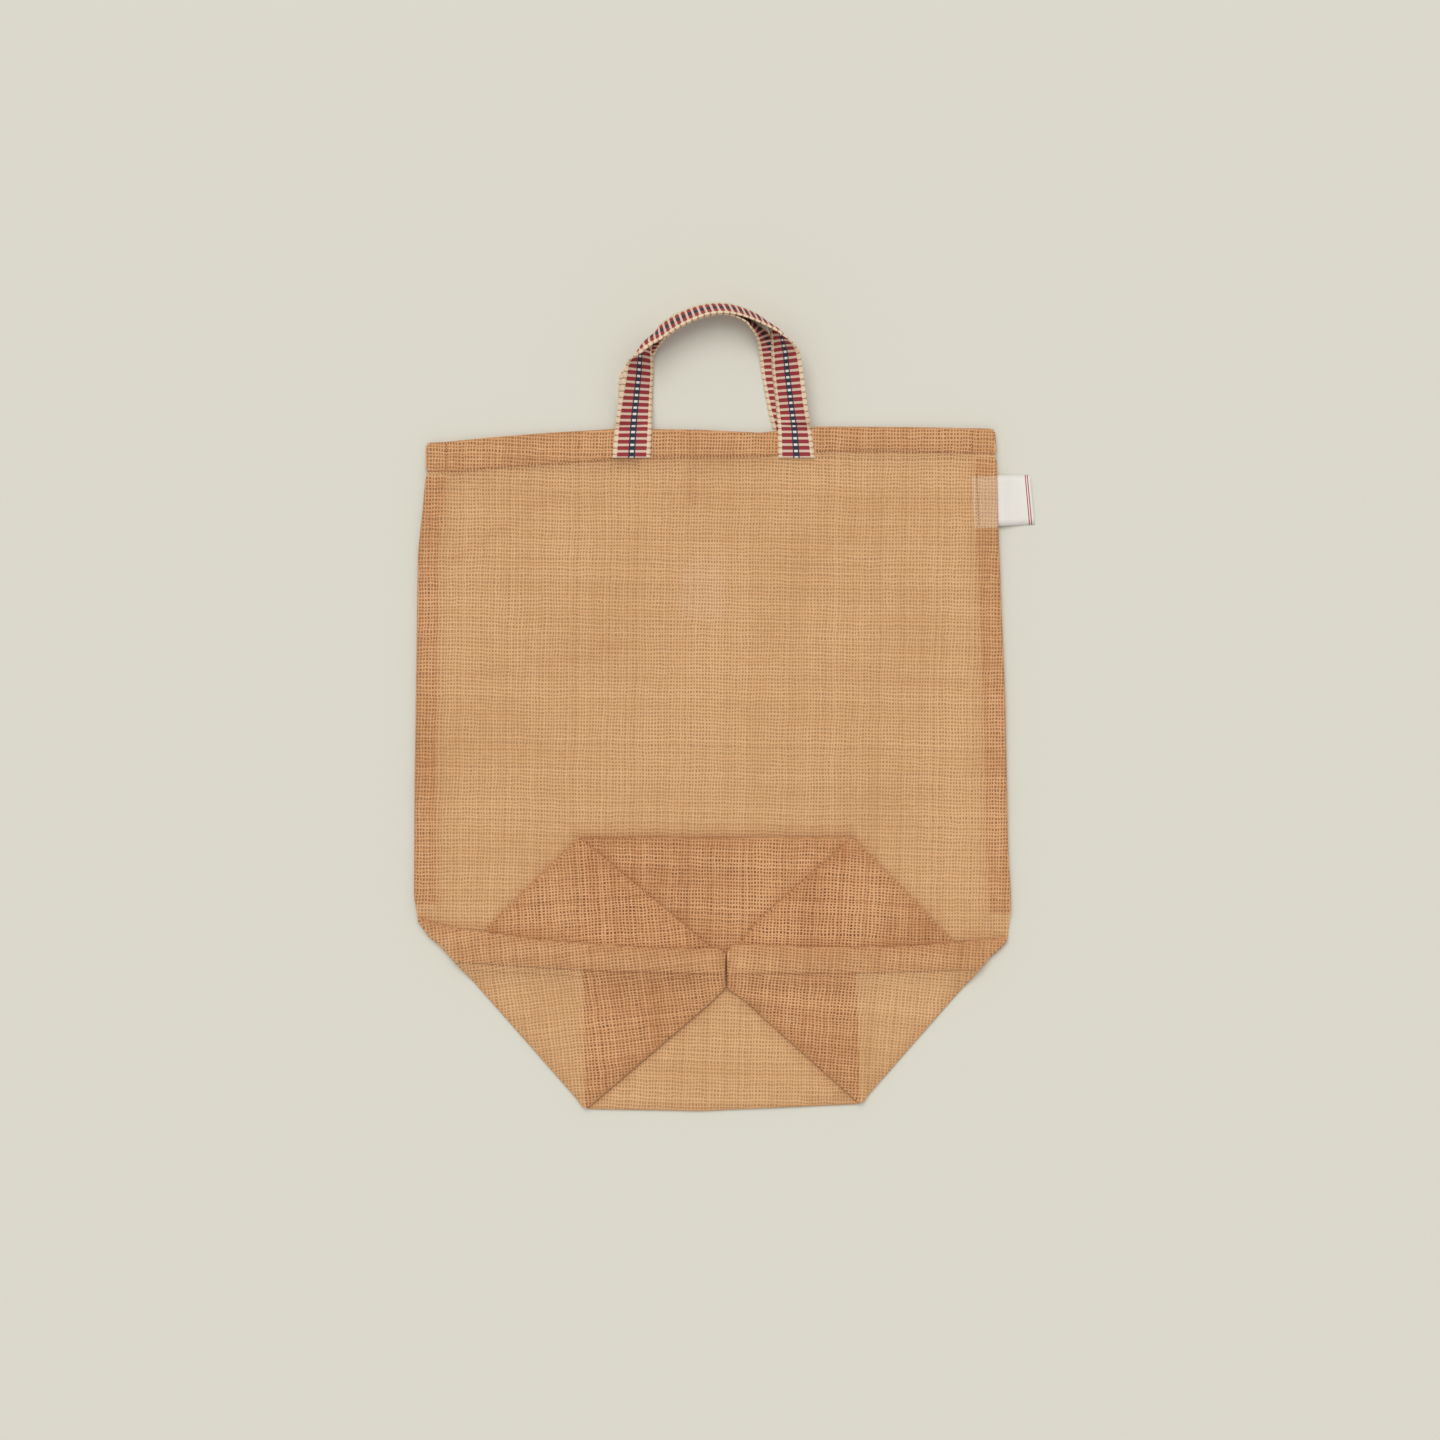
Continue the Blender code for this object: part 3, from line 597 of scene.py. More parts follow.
class Finish:
    """A material whose pattern is worked out by small sums on node outputs."""

    def __init__(self, name, roughness):
        self.material = bpy.data.materials.new(name)
        self.material.use_nodes = True
        self.nodes = self.material.node_tree.nodes
        self.links = self.material.node_tree.links
        self.shader = self.nodes["Principled BSDF"]
        self.shader.inputs["Roughness"].default_value = roughness

    def set(self, node, socket, value):
        if isinstance(value, bpy.types.NodeSocket):
            self.links.new(value, node.inputs[socket])
        else:
            node.inputs[socket].default_value = value

    def math(self, how, a, b=0.0, c=0.0):
        node = self.nodes.new("ShaderNodeMath")
        node.operation = how
        for k, value in enumerate((a, b, c)):
            self.set(node, k, value)
        return node.outputs[0]

    def coordinates(self, uv_name):
        node = self.nodes.new("ShaderNodeUVMap")
        node.uv_map = uv_name
        split = self.nodes.new("ShaderNodeSeparateXYZ")
        self.links.new(node.outputs[0], split.inputs[0])
        return node.outputs[0], split.outputs[0], split.outputs[1]

    def noise(self, where, scale, detail=2.0):
        node = self.nodes.new("ShaderNodeTexNoise")
        node.inputs["Scale"].default_value = scale
        node.inputs["Detail"].default_value = detail
        self.links.new(where, node.inputs["Vector"])
        return node.outputs["Fac"]

    def swing(self, where, scale, detail, size):
        """Soft unevenness around nought, from half the size below it to half above."""
        return self.math("MULTIPLY_ADD", self.noise(where, scale, detail), size, -size / 2)

    def per_thread(self, number, seed):
        """A steady random number for each whole thread number."""
        node = self.nodes.new("ShaderNodeTexWhiteNoise")
        node.noise_dimensions = "1D"
        self.links.new(self.math("ADD", self.math("FLOOR", number), seed), node.inputs["W"])
        return node.outputs["Value"]

    def per_cell(self, across, along):
        """A steady random number for each hole between threads."""
        cell = self.nodes.new("ShaderNodeCombineXYZ")
        self.links.new(self.math("FLOOR", across), cell.inputs[0])
        self.links.new(self.math("FLOOR", along), cell.inputs[1])
        node = self.nodes.new("ShaderNodeTexWhiteNoise")
        node.noise_dimensions = "2D"
        self.links.new(cell.outputs[0], node.inputs["Vector"])
        return node.outputs["Value"]

    def band(self, value, middle, half, soft):
        """1 within half of the middle, falling to 0 over soft."""
        away = self.math("ABSOLUTE", self.math("SUBTRACT", value, middle))
        node = self.nodes.new("ShaderNodeMapRange")
        node.interpolation_type = "SMOOTHSTEP"
        self.set(node, "Value", away)
        for socket, number in (("From Min", half), ("To Min", 1.0), ("To Max", 0.0)):
            self.set(node, socket, number)
        self.set(node, "From Max", self.math("ADD", half, soft))
        return node.outputs["Result"]

    def mixed(self, amount, first, second):
        node = self.nodes.new("ShaderNodeMix")
        node.data_type = "RGBA"
        for socket, value in ((0, amount), (6, first), (7, second)):
            self.set(node, socket, value)
        return node.outputs[2]

    def bump(self, height, distance, strength=1.0):
        node = self.nodes.new("ShaderNodeBump")
        node.inputs["Strength"].default_value = strength
        node.inputs["Distance"].default_value = distance
        self.links.new(height, node.inputs["Height"])
        self.links.new(node.outputs[0], self.shader.inputs["Normal"])


# The weave's looks. Sizes are counted in threads; each kind of unevenness has its scale, detail and size.
LIGHT_THREAD = (0.828, 0.485, 0.239)
DARK_THREAD = (0.678, 0.365, 0.157)
HOLE_FUZZ = (0.678, 0.36, 0.148)
# Deep colours: partly the tint of many cloth layers, partly painted shade, which darkens the holes nearly to black
DEEP_LIGHT_THREAD = (0.83, 0.43, 0.196)
DEEP_DARK_THREAD = (0.485, 0.188, 0.06)
DEEP_HOLE_SHADE = (0.13, 0.038, 0.010)
# Painted shade along folds, edges and creases: its colour and how strongly it darkens the cloth
FOLD_SHADE_BROWN = (0.47, 0.185, 0.06)
FOLD_SHADE_DARKENS = 0.42
PALE_CLOTH = (0.84, 0.60, 0.40)
PALE_LIGHTENS = 0.5
THREAD_ALPHA = 0.97
HOLE_ALPHA = 0.58        # fine fuzz across each hole
DEEP_HOLE_ALPHA = 0.82   # and where many layers lie close under it
THREAD_HALF = 0.14       # half the width of the finest threads
THREAD_UNEVEN = 0.08     # and how much more the widest have
THREAD_SOFT = 0.12       # how soft a thread's edge is
THREAD_PLACE = 0.38      # a thread's middle lies this far into its pitch
THREAD_STRAYS = 0.24     # or up to this much further
WARP_DRIFT = (0.05, 1.0, 1.6)
WEFT_DRIFT = (0.031, 1.0, 1.6)
WARP_WOBBLE = (0.31, 2.0, 0.9)
WEFT_WOBBLE = (0.23, 2.0, 0.9)
SLUBS = (0.6, 1.0, 0.16)
CLOUDS = (0.035, 4.0, 1.4)
STREAKS = (0.25, 3.0)    # finer than clouds
STREAK_SHADE = 0.5
OWN_SHADE = 0.3          # each thread's
# painted highlight where two threads cross and the upper one lies raised
CROSSING_HIGHLIGHT = 0.2
FUZZY_PATCHES = (0.14, 3.0)
PATCHES_CLEAR = (1.6, -0.35)    # spread and least; where it is low, fuzz fills the holes
PATCH_SHARE = 0.7
OWN_CLEAR = 0.6          # each hole's
WEAVE_RELIEF = 0.0004    # metres


def sheer_weave():
    """Round, slightly uneven threads crossing with open holes between them, deeper in colour and darker with
    painted shade over more layers.
    """
    finish = Finish("sheer_cloth", 0.8)
    where, across, along = finish.coordinates("weave")
    # the colour's depth, and the painted shade along folds and creases (under 0, paler cloth)
    _, depth, fold = finish.coordinates("depth")
    warp = finish.math("ADD", across, finish.swing(where, *WARP_DRIFT))
    warp = finish.math("ADD", warp, finish.swing(where, *WARP_WOBBLE))
    weft = finish.math("ADD", along, finish.swing(where, *WEFT_DRIFT))
    weft = finish.math("ADD", weft, finish.swing(where, *WEFT_WOBBLE))
    shares = []
    for number, width_seed, place_seed in ((warp, 3.0, 23.0), (weft, 57.0, 77.0)):
        width = finish.math("MULTIPLY_ADD", finish.per_thread(number, width_seed), THREAD_UNEVEN, THREAD_HALF)
        width = finish.math("ADD", width, finish.swing(where, *SLUBS))
        middle = finish.math("MULTIPLY_ADD", finish.per_thread(number, place_seed), THREAD_STRAYS, THREAD_PLACE)
        shares.append(finish.band(finish.math("FRACT", number), middle, width, THREAD_SOFT))
    cover = finish.math("MAXIMUM", *shares)
    crossing = finish.math("MULTIPLY", *shares)
    shade = finish.math("ADD", finish.per_thread(warp, 11.0), finish.per_thread(weft, 91.0))
    streaks = finish.math("MULTIPLY", finish.noise(where, *STREAKS), STREAK_SHADE)
    shade = finish.math("MULTIPLY_ADD", shade, OWN_SHADE, streaks)
    # a painted highlight where the threads cross
    shade = finish.math("MULTIPLY_ADD", crossing, CROSSING_HIGHLIGHT, shade)
    shade = finish.math("ADD", shade, finish.swing(where, *CLOUDS))
    dark = finish.mixed(depth, (*DARK_THREAD, 1.0), (*DEEP_DARK_THREAD, 1.0))
    light = finish.mixed(depth, (*LIGHT_THREAD, 1.0), (*DEEP_LIGHT_THREAD, 1.0))
    # holes over many layers are painted shade
    hole = finish.mixed(depth, (*HOLE_FUZZ, 1.0), (*DEEP_HOLE_SHADE, 1.0))
    clear = finish.math("MULTIPLY_ADD", finish.noise(where, *FUZZY_PATCHES), *PATCHES_CLEAR)
    clear = finish.math("MULTIPLY", clear, PATCH_SHARE)
    clear = finish.math("MULTIPLY_ADD", finish.per_cell(warp, weft), OWN_CLEAR, clear)
    hole = finish.mixed(clear, dark, hole)
    colour = finish.mixed(cover, hole, finish.mixed(shade, dark, light))
    # painted shade along the folds, edges and creases
    colour = finish.mixed(finish.math("MULTIPLY", fold, FOLD_SHADE_DARKENS), colour, (*FOLD_SHADE_BROWN, 1.0))
    colour = finish.mixed(finish.math("MULTIPLY", fold, -PALE_LIGHTENS), colour, (*PALE_CLOTH, 1.0))
    finish.links.new(colour, finish.shader.inputs["Base Color"])
    in_hole = finish.math("MULTIPLY_ADD", depth, DEEP_HOLE_ALPHA - HOLE_ALPHA, HOLE_ALPHA)
    opaque = finish.math("MULTIPLY_ADD", cover, finish.math("SUBTRACT", THREAD_ALPHA, in_hole), in_hole)
    finish.links.new(opaque, finish.shader.inputs["Alpha"])
    finish.bump(finish.math("ADD", cover, crossing), WEAVE_RELIEF, 0.4)
    finish.shader.inputs["Sheen Weight"].default_value = 0.1
    return finish.material


cloth, plan, heights = cloth_mesh()
bag_cloth = new_piece("bag_sheer_cloth", cloth, [sheer_weave()])
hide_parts("bag_cloth")


# The stitching: fine thread worked over groups of the cloth's own threads, which draws them together and leaves a
# row of small dark ticks. It holds the hem and both its ends, the strip across the base and the label's inner end.
STITCH_LIFT = 0.25
STITCH_SIDES = 6         # of a stitch's round thread
STITCH_TAPER = ((-0.5, 0.25), (-0.3, 0.9), (0.0, 1.0), (0.3, 0.9), (0.5, 0.25))   # place along it, girth
STITCH_LENGTHS = (0.8, 1.15)
STITCH_WIDTHS = (0.8, 1.1)
STITCH_SPACING = (0.92, 1.08)
STITCH_DARK = (0.20, 0.075, 0.03, 1.0)
STITCH_LIGHT = (0.40, 0.19, 0.09, 1.0)

# Each row: the line, the pitch, a stitch's length and width, and whether it lies across the line
STITCH_LINES = [
    (LINES["hem_stitch"], 2.0, 1.6, 0.5, True),
    ([(-167.1, 157.4), (-167.4, 142.0)], 2.0, 0.9, 0.6, False),
    ([(147.3, 165.6), (147.6, 151.6)], 2.0, 0.9, 0.6, False),
    ([(150.4, 138.2), (151.6, 107.4)], 1.9, 1.0, 0.6, False),
    ([(-160.0, -152.9), (-81.3, -157.9), (-2.0, -160.0)], 2.0, 1.2, 0.65, False),
    ([(-154.0, -157.6), (-81.3, -161.6), (-3.5, -163.2)], 2.0, 0.9, 0.5, False),
    ([(3.0, -159.6), (72.9, -159.6), (150.0, -157.4)], 2.0, 1.1, 0.6, False),
]


def surface_points():
    """The height of the highest cloth over each point of the plan."""
    top = {}
    for _, height in heights.values():
        for v, z in height.items():
            top[v] = max(z, top.get(v, 0.0))
    return [(plan[v][0], plan[v][1], z) for v, z in top.items()]


def add_stitch(mesh, middle, along, length, width):
    """One stitch: a short thread, flat against the cloth, tapering at both ends."""
    side = Vector((-along.y, along.x, 0.0))
    rings = []
    for share, girth in STITCH_TAPER:
        centre = middle + along * (share * length)
        ring_points = []
        for k in range(STITCH_SIDES):
            turn = 2 * math.pi * k / STITCH_SIDES
            offset = side * (math.cos(turn) * width / 2 * girth)
            offset.z = math.sin(turn) * width / 4 * girth
            ring_points.append(mesh.verts.new((centre + offset) * MM))
        rings.append(ring_points)
    for a, b in zip(rings, rings[1:]):
        for k in range(STITCH_SIDES):
            mesh.faces.new((a[k - 1], b[k - 1], b[k], a[k]))
    mesh.faces.new(rings[0])
    mesh.faces.new(rings[-1][::-1])


def stitch_rows():
    """All rows of stitches, each stitch a little uneven in its size and place."""
    top_points = surface_points()
    draw = random.Random(7)
    mesh = bmesh.new()
    for line, pitch, length, width, across in STITCH_LINES:
        gone, target = 0.0, pitch / 2
        for (ax, ay), (bx, by) in zip(line, line[1:]):
            run = math.hypot(bx - ax, by - ay)
            along = Vector(((bx - ax) / run, (by - ay) / run, 0.0))
            while target < gone + run:
                share = (target - gone) / run
                x = ax + share * (bx - ax)
                y = ay + share * (by - ay)
                near = sorted(top_points, key=lambda p: (p[0] - x) ** 2 + (p[1] - y) ** 2)[:3]
                z = max(p[2] for p in near) + STITCH_LIFT
                aim = Vector((-along.y, along.x, 0.0)) if across else along
                size = draw.uniform(*STITCH_LENGTHS)
                add_stitch(mesh, Vector((x, y, z)), aim, length * size, width * draw.uniform(*STITCH_WIDTHS))
                target += pitch * draw.uniform(*STITCH_SPACING)
            gone += run
    return mesh


def stitch_thread():
    finish = Finish("stitch_thread", 0.85)
    where = finish.nodes.new("ShaderNodeTexCoord").outputs["Object"]
    shade = finish.noise(where, 900.0, 2.0)
    colour = finish.mixed(shade, STITCH_DARK, STITCH_LIGHT)
    finish.links.new(colour, finish.shader.inputs["Base Color"])
    finish.bump(shade, 0.0001, 0.4)
    return finish.material


stitches = new_piece("seam_stitches", stitch_rows(), [stitch_thread()])


# The two handles: woven cotton tape with red crosswise bars on cream, a dark middle line with pale dots and
# looped cream edges. Each end is sewn flat on the outside of the hem; between them the tape turns over on its edge.
BAR_PITCH = 3.84
STEPS_TO_A_BAR = 6
TAPE_ROWS = 12           # of mesh across the tape
CURVE_PARTS = 12         # points of a smooth curve for each row of the tables below
LOOP_DEPTH = 0.7
LYING = SEWN_GAP + TAPE_THICKNESS / 2    # height of the middle of tape that lies flat on the table
on_hem = LYING + max(z for v, z in heights["front"][1].items()
                     if any(within(*plan[v], pad) for pad in tape_pads()))

# Along each tape from its left sewn end: the raised edge's place, the low edge's place, and how far the tape
# bellies towards its wrong side between the two
FRONT_TAPE = [
    (-67.5, 148.8, on_hem, -45.0, 148.8, on_hem, 0.0),
    (-66.1, 165.6, on_hem, -44.3, 165.6, on_hem, 0.0),
    (-65.4, 171.3, 8.6, -44.2, 171.3, 4.0, 0.0),
    (-62.9, 186.3, 11.7, -43.9, 186.3, 1.6, 0.0),
    (-60.4, 198.6, 14.9, -43.4, 198.3, 1.6, 0.3),
    (-59.3, 202.9, 15.9, -43.3, 202.8, 1.6, 0.8),
    (-57.5, 205.7, 18.2, -43.3, 206.4, 2.6, 1.8),
    (-54.3, 207.5, 20.8, -43.3, 210.0, 4.2, 3.4),
    (-50.3, 209.3, 23.6, -43.3, 213.6, 6.6, 4.4),
    (-47.2, 211.7, 24.5, -43.1, 217.4, 6.4, 4.0),
    (-44.1, 214.1, 23.3, -42.5, 221.2, 4.0, 2.8),
    (-38.0, 218.3, 20.1, -39.7, 227.9, 0.9, 0.5),
    (-31.6, 222.8, 19.8, -34.4, 232.3, 0.6, 0.2),
    (-25.0, 226.7, 19.9, -27.8, 236.0, 0.6, 0.2),
    (-18.1, 229.9, 20.0, -20.8, 238.9, 0.6, 0.2),
    (-10.5, 232.5, 20.3, -13.3, 240.9, 0.6, 0.2),
    (-2.3, 233.6, 20.4, -5.2, 241.7, 0.6, 0.2),
    (5.6, 232.9, 20.3, 2.7, 241.1, 0.6, 0.2),
    (13.2, 230.9, 20.3, 10.3, 239.0, 0.6, 0.2),
    (20.3, 228.0, 20.4, 17.5, 235.9, 0.6, 0.3),
    (23.8, 226.3, 20.7, 20.8, 233.8, 0.7, 0.5),
    (27.2, 224.5, 21.2, 23.6, 231.1, 1.1, 0.9),
    (30.5, 222.6, 21.9, 25.6, 227.9, 2.0, 1.8),
    (33.5, 220.5, 22.5, 26.7, 224.3, 3.2, 2.4),
    (36.5, 218.3, 22.6, 27.2, 220.6, 4.0, 2.2),
    (39.5, 216.0, 21.0, 27.4, 216.8, 3.6, 1.6),
    (42.3, 213.2, 18.4, 27.5, 212.9, 2.8, 0.9),
    (44.1, 209.6, 16.3, 27.8, 209.1, 2.2, 0.4),
    (46.0, 198.9, 14.1, 28.4, 198.6, 1.6, 0.0),
    (47.9, 183.3, 13.9, 30.2, 183.3, 1.6, 0.0),
    (49.2, 175.5, 12.6, 30.9, 175.5, 2.4, 0.0),
    (50.2, 170.4, 10.6, 31.2, 170.4, 4.6, 0.0),
    (51.1, 165.6, on_hem, 31.4, 165.6, on_hem, 0.0),
    (53.2, 148.8, on_hem, 31.7, 148.8, on_hem, 0.0),
]
BACK_TAPE = [
    (-45.3, 148.8, LYING, -66.4, 148.8, LYING, 0.0),
    (-44.7, 165.6, LYING, -65.0, 165.6, LYING, 0.0),
    (-44.9, 176.0, LYING, -64.0, 176.0, LYING, 0.0),
    (-44.9, 185.1, LYING, -64.1, 185.1, LYING, 0.0),
    (-44.9, 196.5, LYING, -63.8, 196.2, LYING, 0.0),
    (-44.7, 201.3, 0.8, -62.5, 200.4, LYING, 0.0),
    (-44.2, 205.6, 1.2, -59.9, 203.8, LYING, 0.0),
    (-43.3, 209.3, 2.8, -55.9, 207.3, LYING, 0.6),
    (-41.6, 212.3, 6.5, -51.1, 210.8, LYING, 1.2),
    (-39.2, 214.9, 12.0, -46.9, 214.7, LYING, 1.0),
    (-37.1, 217.8, 16.6, -43.0, 219.2, LYING, 0.6),
    (-34.4, 220.1, 18.2, -39.5, 223.5, LYING, 0.2),
    (-28.1, 224.4, 18.4, -32.6, 229.7, LYING, 0.2),
    (-21.4, 228.0, 18.4, -25.4, 233.9, LYING, 0.2),
    (-14.2, 230.8, 18.4, -18.1, 236.8, LYING, 0.2),
    (-6.4, 232.7, 18.4, -10.3, 238.4, LYING, 0.2),
    (-2.3, 233.0, 18.4, -6.2, 238.6, LYING, 0.2),
    (5.3, 231.9, 18.4, 1.9, 238.0, LYING, 0.2),
    (12.2, 228.5, 18.0, 9.7, 235.0, LYING, 0.2),
    (14.6, 225.7, 17.0, 14.5, 232.1, LYING, 0.3),
    (16.7, 223.3, 14.6, 19.7, 228.5, LYING, 0.5),
    (18.4, 220.4, 11.2, 25.1, 224.6, LYING, 0.8),
    (19.5, 217.1, 7.6, 30.3, 220.1, LYING, 0.8),
    (20.1, 213.5, 4.6, 34.5, 215.8, LYING, 0.5),
    (20.6, 209.7, 2.6, 37.5, 211.1, LYING, 0.2),
    (21.4, 201.3, 0.8, 40.3, 201.9, LYING, 0.0),
    (22.4, 194.7, LYING, 41.5, 195.3, LYING, 0.0),
    (25.4, 178.5, LYING, 45.5, 178.5, LYING, 0.0),
    (28.4, 165.6, LYING, 49.5, 165.6, LYING, 0.0),
    (30.5, 148.8, LYING, 51.9, 148.8, LYING, 0.0),
]

# The tape's pattern: half widths of its parts, as shares of a bar's pitch along it and of its width across it
BAR_HALF = 0.28
BODY_HALF = 0.385
DARK_LINE_HALF = 0.085
WRONG_SIDE_LINE_HALF = 0.125
DOT_HALF = 0.042
DOT_GAP_HALF = 0.29
LOOP_HALF = 0.34
RIBS = 180.0
ROW_WOBBLE = (3.0, 2.0, 0.06)
CREAM = ((0.64, 0.41, 0.31, 1.0), (0.88, 0.66, 0.53, 1.0))
EDGE_CREAM = ((0.50, 0.30, 0.15, 1.0), (0.88, 0.68, 0.48, 1.0))
RED = ((0.24, 0.012, 0.017, 1.0), (0.41, 0.035, 0.042, 1.0))
NAVY = ((0.010, 0.013, 0.035, 1.0), (0.03, 0.036, 0.07, 1.0))
DOT_WHITE = (0.86, 0.83, 0.76, 1.0)


def smooth_rows(rows, parts):
    """Rows of numbers with others between them on a smooth curve through each."""
    out = []
    for i in range(len(rows) - 1):
        before, a, b, after = rows[max(i - 1, 0)], rows[i], rows[i + 1], rows[min(i + 2, len(rows) - 1)]
        for k in range(parts):
            t = k / parts
            out.append([0.5 * (2 * q + (r - p) * t + (2 * p - 5 * q + 4 * r - s) * t * t
                               + (3 * q - p - 3 * r + s) * t ** 3)
                        for p, q, r, s in zip(before, a, b, after)])
    return out + [list(rows[-1])]


def tape_stations(rows):
    """Even steps along the tape: its low edge, its raised edge and its belly at each."""
    fine = [(Vector(row[3:6]), Vector(row[:3]), max(0.0, row[6])) for row in smooth_rows(rows, CURVE_PARTS)]
    run, gone = [0.0], 0.0
    for (a, b, _), (c, d, _) in zip(fine, fine[1:]):
        gone += ((c - a).length + (d - b).length) / 2
        run.append(gone)
    steps = round(gone / (BAR_PITCH / STEPS_TO_A_BAR))
    stations, at = [], 0
    for k in range(steps + 1):
        target = gone * k / steps
        while at < len(run) - 2 and run[at + 1] < target:
            at += 1
        share = (target - run[at]) / (run[at + 1] - run[at])
        (a, b, p), (c, d, q) = fine[at], fine[at + 1]
        stations.append((target, a.lerp(c, share), b.lerp(d, share), p + (q - p) * share))
    return stations


def tape_mesh(rows):
    """The tape as an open strip, with loops along both edges, its pattern counted in widths and in bars."""
    stations = tape_stations(rows)
    mesh = bmesh.new()
    stripes = mesh.loops.layers.uv.new("stripes")
    lines = []
    for i, (gone, low, high, belly) in enumerate(stations):
        before, after = stations[max(i - 1, 0)], stations[min(i + 1, len(stations) - 1)]
        travel = (after[1] + after[2]) - (before[1] + before[2])
        out = (high - low).normalized()
        wrong_side = out.cross(travel).normalized()
        loop = LOOP_DEPTH * abs(math.cos(math.pi * gone / BAR_PITCH))
        line = []
        for k in range(TAPE_ROWS + 1):
            t = k / TAPE_ROWS
            spot = low.lerp(high, t) + wrong_side * (4.0 * t * (1.0 - t) * belly)
            if k in (0, TAPE_ROWS):
                spot += out * (loop - LOOP_DEPTH / 2) * (-1.0 if k == 0 else 1.0)
            line.append((mesh.verts.new(spot * MM), t - 0.5, gone / BAR_PITCH))
        lines.append(line)
    join_rows(mesh, lines, stripes)
    return mesh, stations[-1][0]


def tape_finish(name, dots):
    """Crosswise bars, a middle line, and pale borders; the right side also shows dots in the middle line."""
    finish = Finish(name, 0.75)
    where, across, along = finish.coordinates("stripes")
    row = finish.math("FRACT", finish.math("ADD", along, finish.swing(where, *ROW_WOBBLE)))
    bar = finish.band(row, 0.5, BAR_HALF, 0.05)
    body = finish.band(across, 0.0, BODY_HALF, 0.015)
    rib = finish.math("MULTIPLY_ADD", finish.math("SINE", finish.math("MULTIPLY", across, RIBS)), 0.5, 0.5)
    loops = finish.math("MAXIMUM", *(finish.band(row, middle, LOOP_HALF, 0.12) for middle in (0.0, 1.0)))
    grain = finish.noise(where, 9.0, 4.0)
    colour = finish.mixed(bar, finish.mixed(grain, *CREAM), finish.mixed(grain, *RED))
    navy = finish.mixed(grain, *NAVY)
    if dots:
        colour = finish.mixed(finish.band(across, 0.0, DARK_LINE_HALF, 0.012), colour, navy)
        between_bars = finish.math("SUBTRACT", 1.0, finish.band(row, 0.5, DOT_GAP_HALF, 0.06))
        dot = finish.math("MULTIPLY", finish.band(across, 0.0, DOT_HALF, 0.02), between_bars)
        colour = finish.mixed(dot, colour, DOT_WHITE)
    else:
        line = finish.band(across, 0.0, WRONG_SIDE_LINE_HALF, 0.012)
        colour = finish.mixed(finish.math("MULTIPLY", line, bar), colour, navy)
    colour = finish.mixed(body, finish.mixed(loops, *EDGE_CREAM), colour)
    finish.links.new(colour, finish.shader.inputs["Base Color"])
    height = finish.math("ADD", finish.math("MULTIPLY", rib, 0.4), finish.math("ADD", bar, loops))
    finish.bump(height, 0.00025, 0.6)
    return finish.material


right_side = tape_finish("tape_right_side", True)
wrong_side = tape_finish("tape_wrong_side", False)
for name, rows in (("front", FRONT_TAPE), ("back", BACK_TAPE)):
    strip, length = tape_mesh(rows)
    tape = new_piece(f"{name}_tape_handle", strip, [right_side, wrong_side])
    thicken(tape, TAPE_THICKNESS)
    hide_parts(f"handle_{name}")


# The side label: a short length of off-white satin ribbon, its inner end caught in the right-hand side seam and
# its outer end free, sinking to the table. Two thin plain red lines run across it near the free end.
LABEL_TABLE = 0.4
LABEL_OVER_SEAM = 0.8    # above the cloth that it lies on
LABEL_DROP = [(0.0, 0.0), (0.36, 0.0), (0.42, 0.0), (0.60, 0.55), (0.78, 0.92), (1.0, 1.0)]   # along it, share sunk
LABEL_PARTS = 8          # of mesh across the ribbon
LABEL_CUPS_FROM = 0.6    # its free end is a little higher along its middle, from here on
LABEL_CUP = 0.5
SATIN = ((0.82, 0.79, 0.73, 1.0), (0.90, 0.87, 0.81, 1.0))
RED_LINES = (0.90, 0.94)
RED_LINE_HALF = 0.008
LINE_RED = (0.45, 0.04, 0.04, 1.0)


def label_mesh(seam_height):
    """The ribbon, level in the seam and sinking to the table outside it."""
    (ax, ay), (bx, by), (cx, cy), (dx, dy) = LABEL
    mesh = bmesh.new()
    ribbon = mesh.loops.layers.uv.new("ribbon")
    lines = []
    for t, sunk in smooth_rows(LABEL_DROP, 4):
        z = seam_height + (LABEL_TABLE - seam_height) * min(1.0, max(0.0, sunk))
        line = []
        for k in range(LABEL_PARTS + 1):
            s = k / LABEL_PARTS
            top = Vector((ax + t * (dx - ax), ay + t * (dy - ay), z))
            foot = Vector((bx + t * (cx - bx), by + t * (cy - by), z))
            lift = LABEL_CUP * t * t * math.sin(math.pi * s) if t > LABEL_CUPS_FROM else 0.0
            line.append((mesh.verts.new((top.lerp(foot, s) + Vector((0, 0, lift))) * MM), t, s))
        lines.append(line)
    join_rows(mesh, lines[::-1], ribbon)
    return mesh


def satin():
    """Smooth satin with very fine ribs, and the red lines near its free end."""
    finish = Finish("label_satin", 0.42)
    where, out, down = finish.coordinates("ribbon")
    fine = finish.noise(where, 60.0, 2.0)
    lines = finish.math("MAXIMUM", *(finish.band(out, place, RED_LINE_HALF, 0.004) for place in RED_LINES))
    colour = finish.mixed(lines, finish.mixed(fine, *SATIN), LINE_RED)
    finish.links.new(colour, finish.shader.inputs["Base Color"])
    ribs = finish.math("SINE", finish.math("MULTIPLY", down, 400.0))
    finish.bump(finish.math("ADD", ribs, fine), 0.00005, 0.4)
    return finish.material


seam_right_heights = [z for v, z in heights["back_seam_right"][1].items() if within(*plan[v], label_pad())]
label = new_piece("side_satin_label", label_mesh(max(seam_right_heights) + LABEL_OVER_SEAM), [satin()])
thicken(label, LABEL_THICKNESS)
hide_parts("side_label")


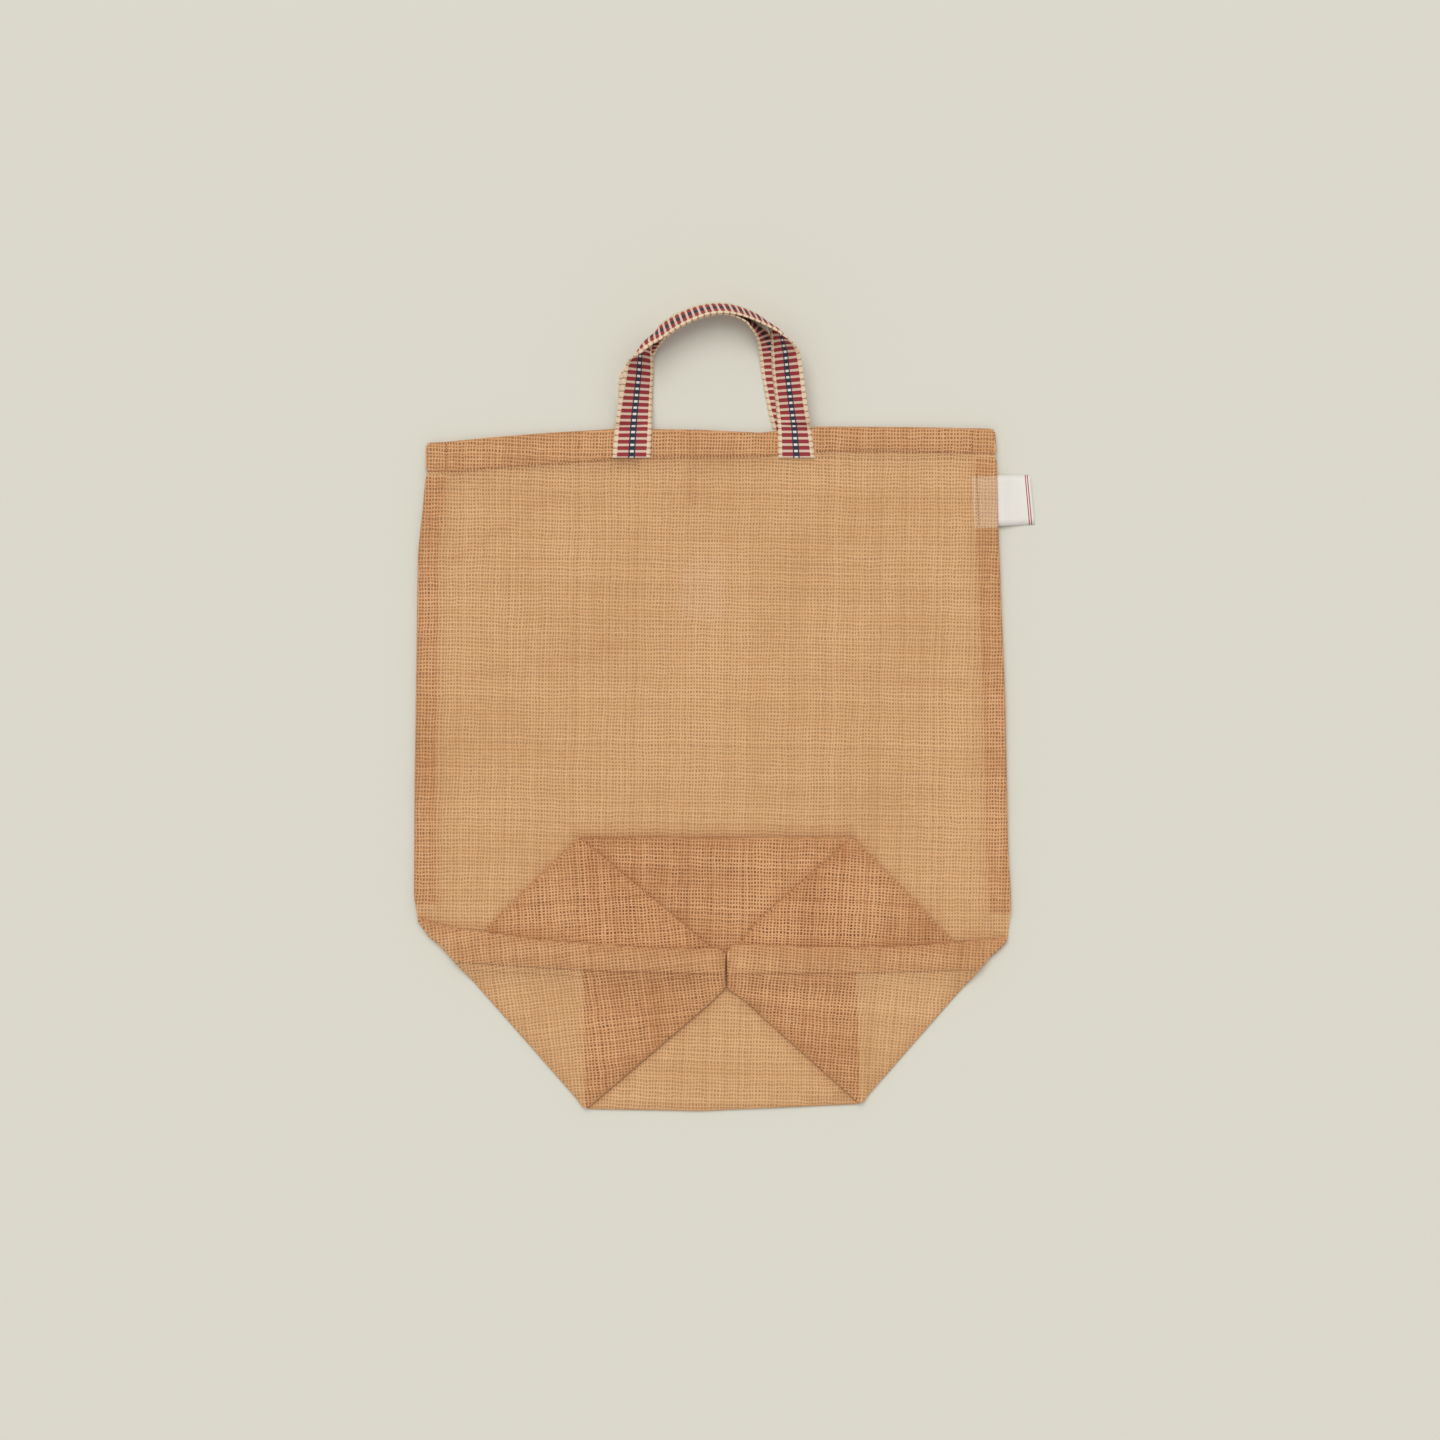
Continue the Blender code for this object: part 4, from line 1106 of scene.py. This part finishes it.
# The table: a plain pale surface, far wider than the view, smooth and barely shiny. Nothing is fixed to it.
TABLE_HALF = 4.0         # metres
TABLE_COLOUR = (0.76, 0.745, 0.65, 1.0)


def table_top():
    mesh = bmesh.new()
    bmesh.ops.create_grid(mesh, x_segments=1, y_segments=1, size=TABLE_HALF)
    finish = Finish("plain_table", 0.7)
    finish.shader.inputs["Base Color"].default_value = TABLE_COLOUR
    finish.shader.inputs["Specular IOR Level"].default_value = 0.2
    return put_in_scene("floor", mesh, [finish.material])


table_top()

# The light: an even pale surround and one broad soft light overhead, a little towards the mouth of the bag.
WARM_WHITE = (1.0, 0.995, 0.985)
SURROUND_STRENGTH = 0.55
SKY_SPREAD = 50          # degrees
SKY_STRENGTH = 1.35

world = bpy.data.worlds.new("surround")
bpy.context.scene.world = world
world.use_nodes = True
world.node_tree.nodes["Background"].inputs[0].default_value = (*WARM_WHITE, 1.0)
world.node_tree.nodes["Background"].inputs[1].default_value = SURROUND_STRENGTH
sky_light = bpy.data.lights.new("soft_sky_light", "SUN")
sky_light.angle = math.radians(SKY_SPREAD)
sky_light.energy = SKY_STRENGTH
sky_light.color = WARM_WHITE
overhead = bpy.data.objects.new("soft_sky_light", sky_light)
overhead.location = (-0.3, 1.2, 2.3)
overhead.rotation_euler = (-overhead.location).to_track_quat("-Z", "Y").to_euler()
bpy.context.scene.collection.objects.link(overhead)

# The camera looks straight down from above the middle of the frame. Sizes are metres, the sensor's millimetres.
CAMERA_HEIGHT = 1.8
FRAME_WIDTH = 0.864      # on the table
SENSOR_WIDTH = 36.0

camera_data = bpy.data.cameras.new("camera")
camera_data.sensor_width = SENSOR_WIDTH
camera_data.lens = SENSOR_WIDTH * CAMERA_HEIGHT / FRAME_WIDTH
camera = bpy.data.objects.new("camera", camera_data)
camera.location = (-0.0033, -0.0081, CAMERA_HEIGHT)
bpy.context.scene.collection.objects.link(camera)
bpy.context.scene.camera = camera
bpy.context.scene.view_settings.view_transform = "Standard"

bpy.context.view_layer.update()
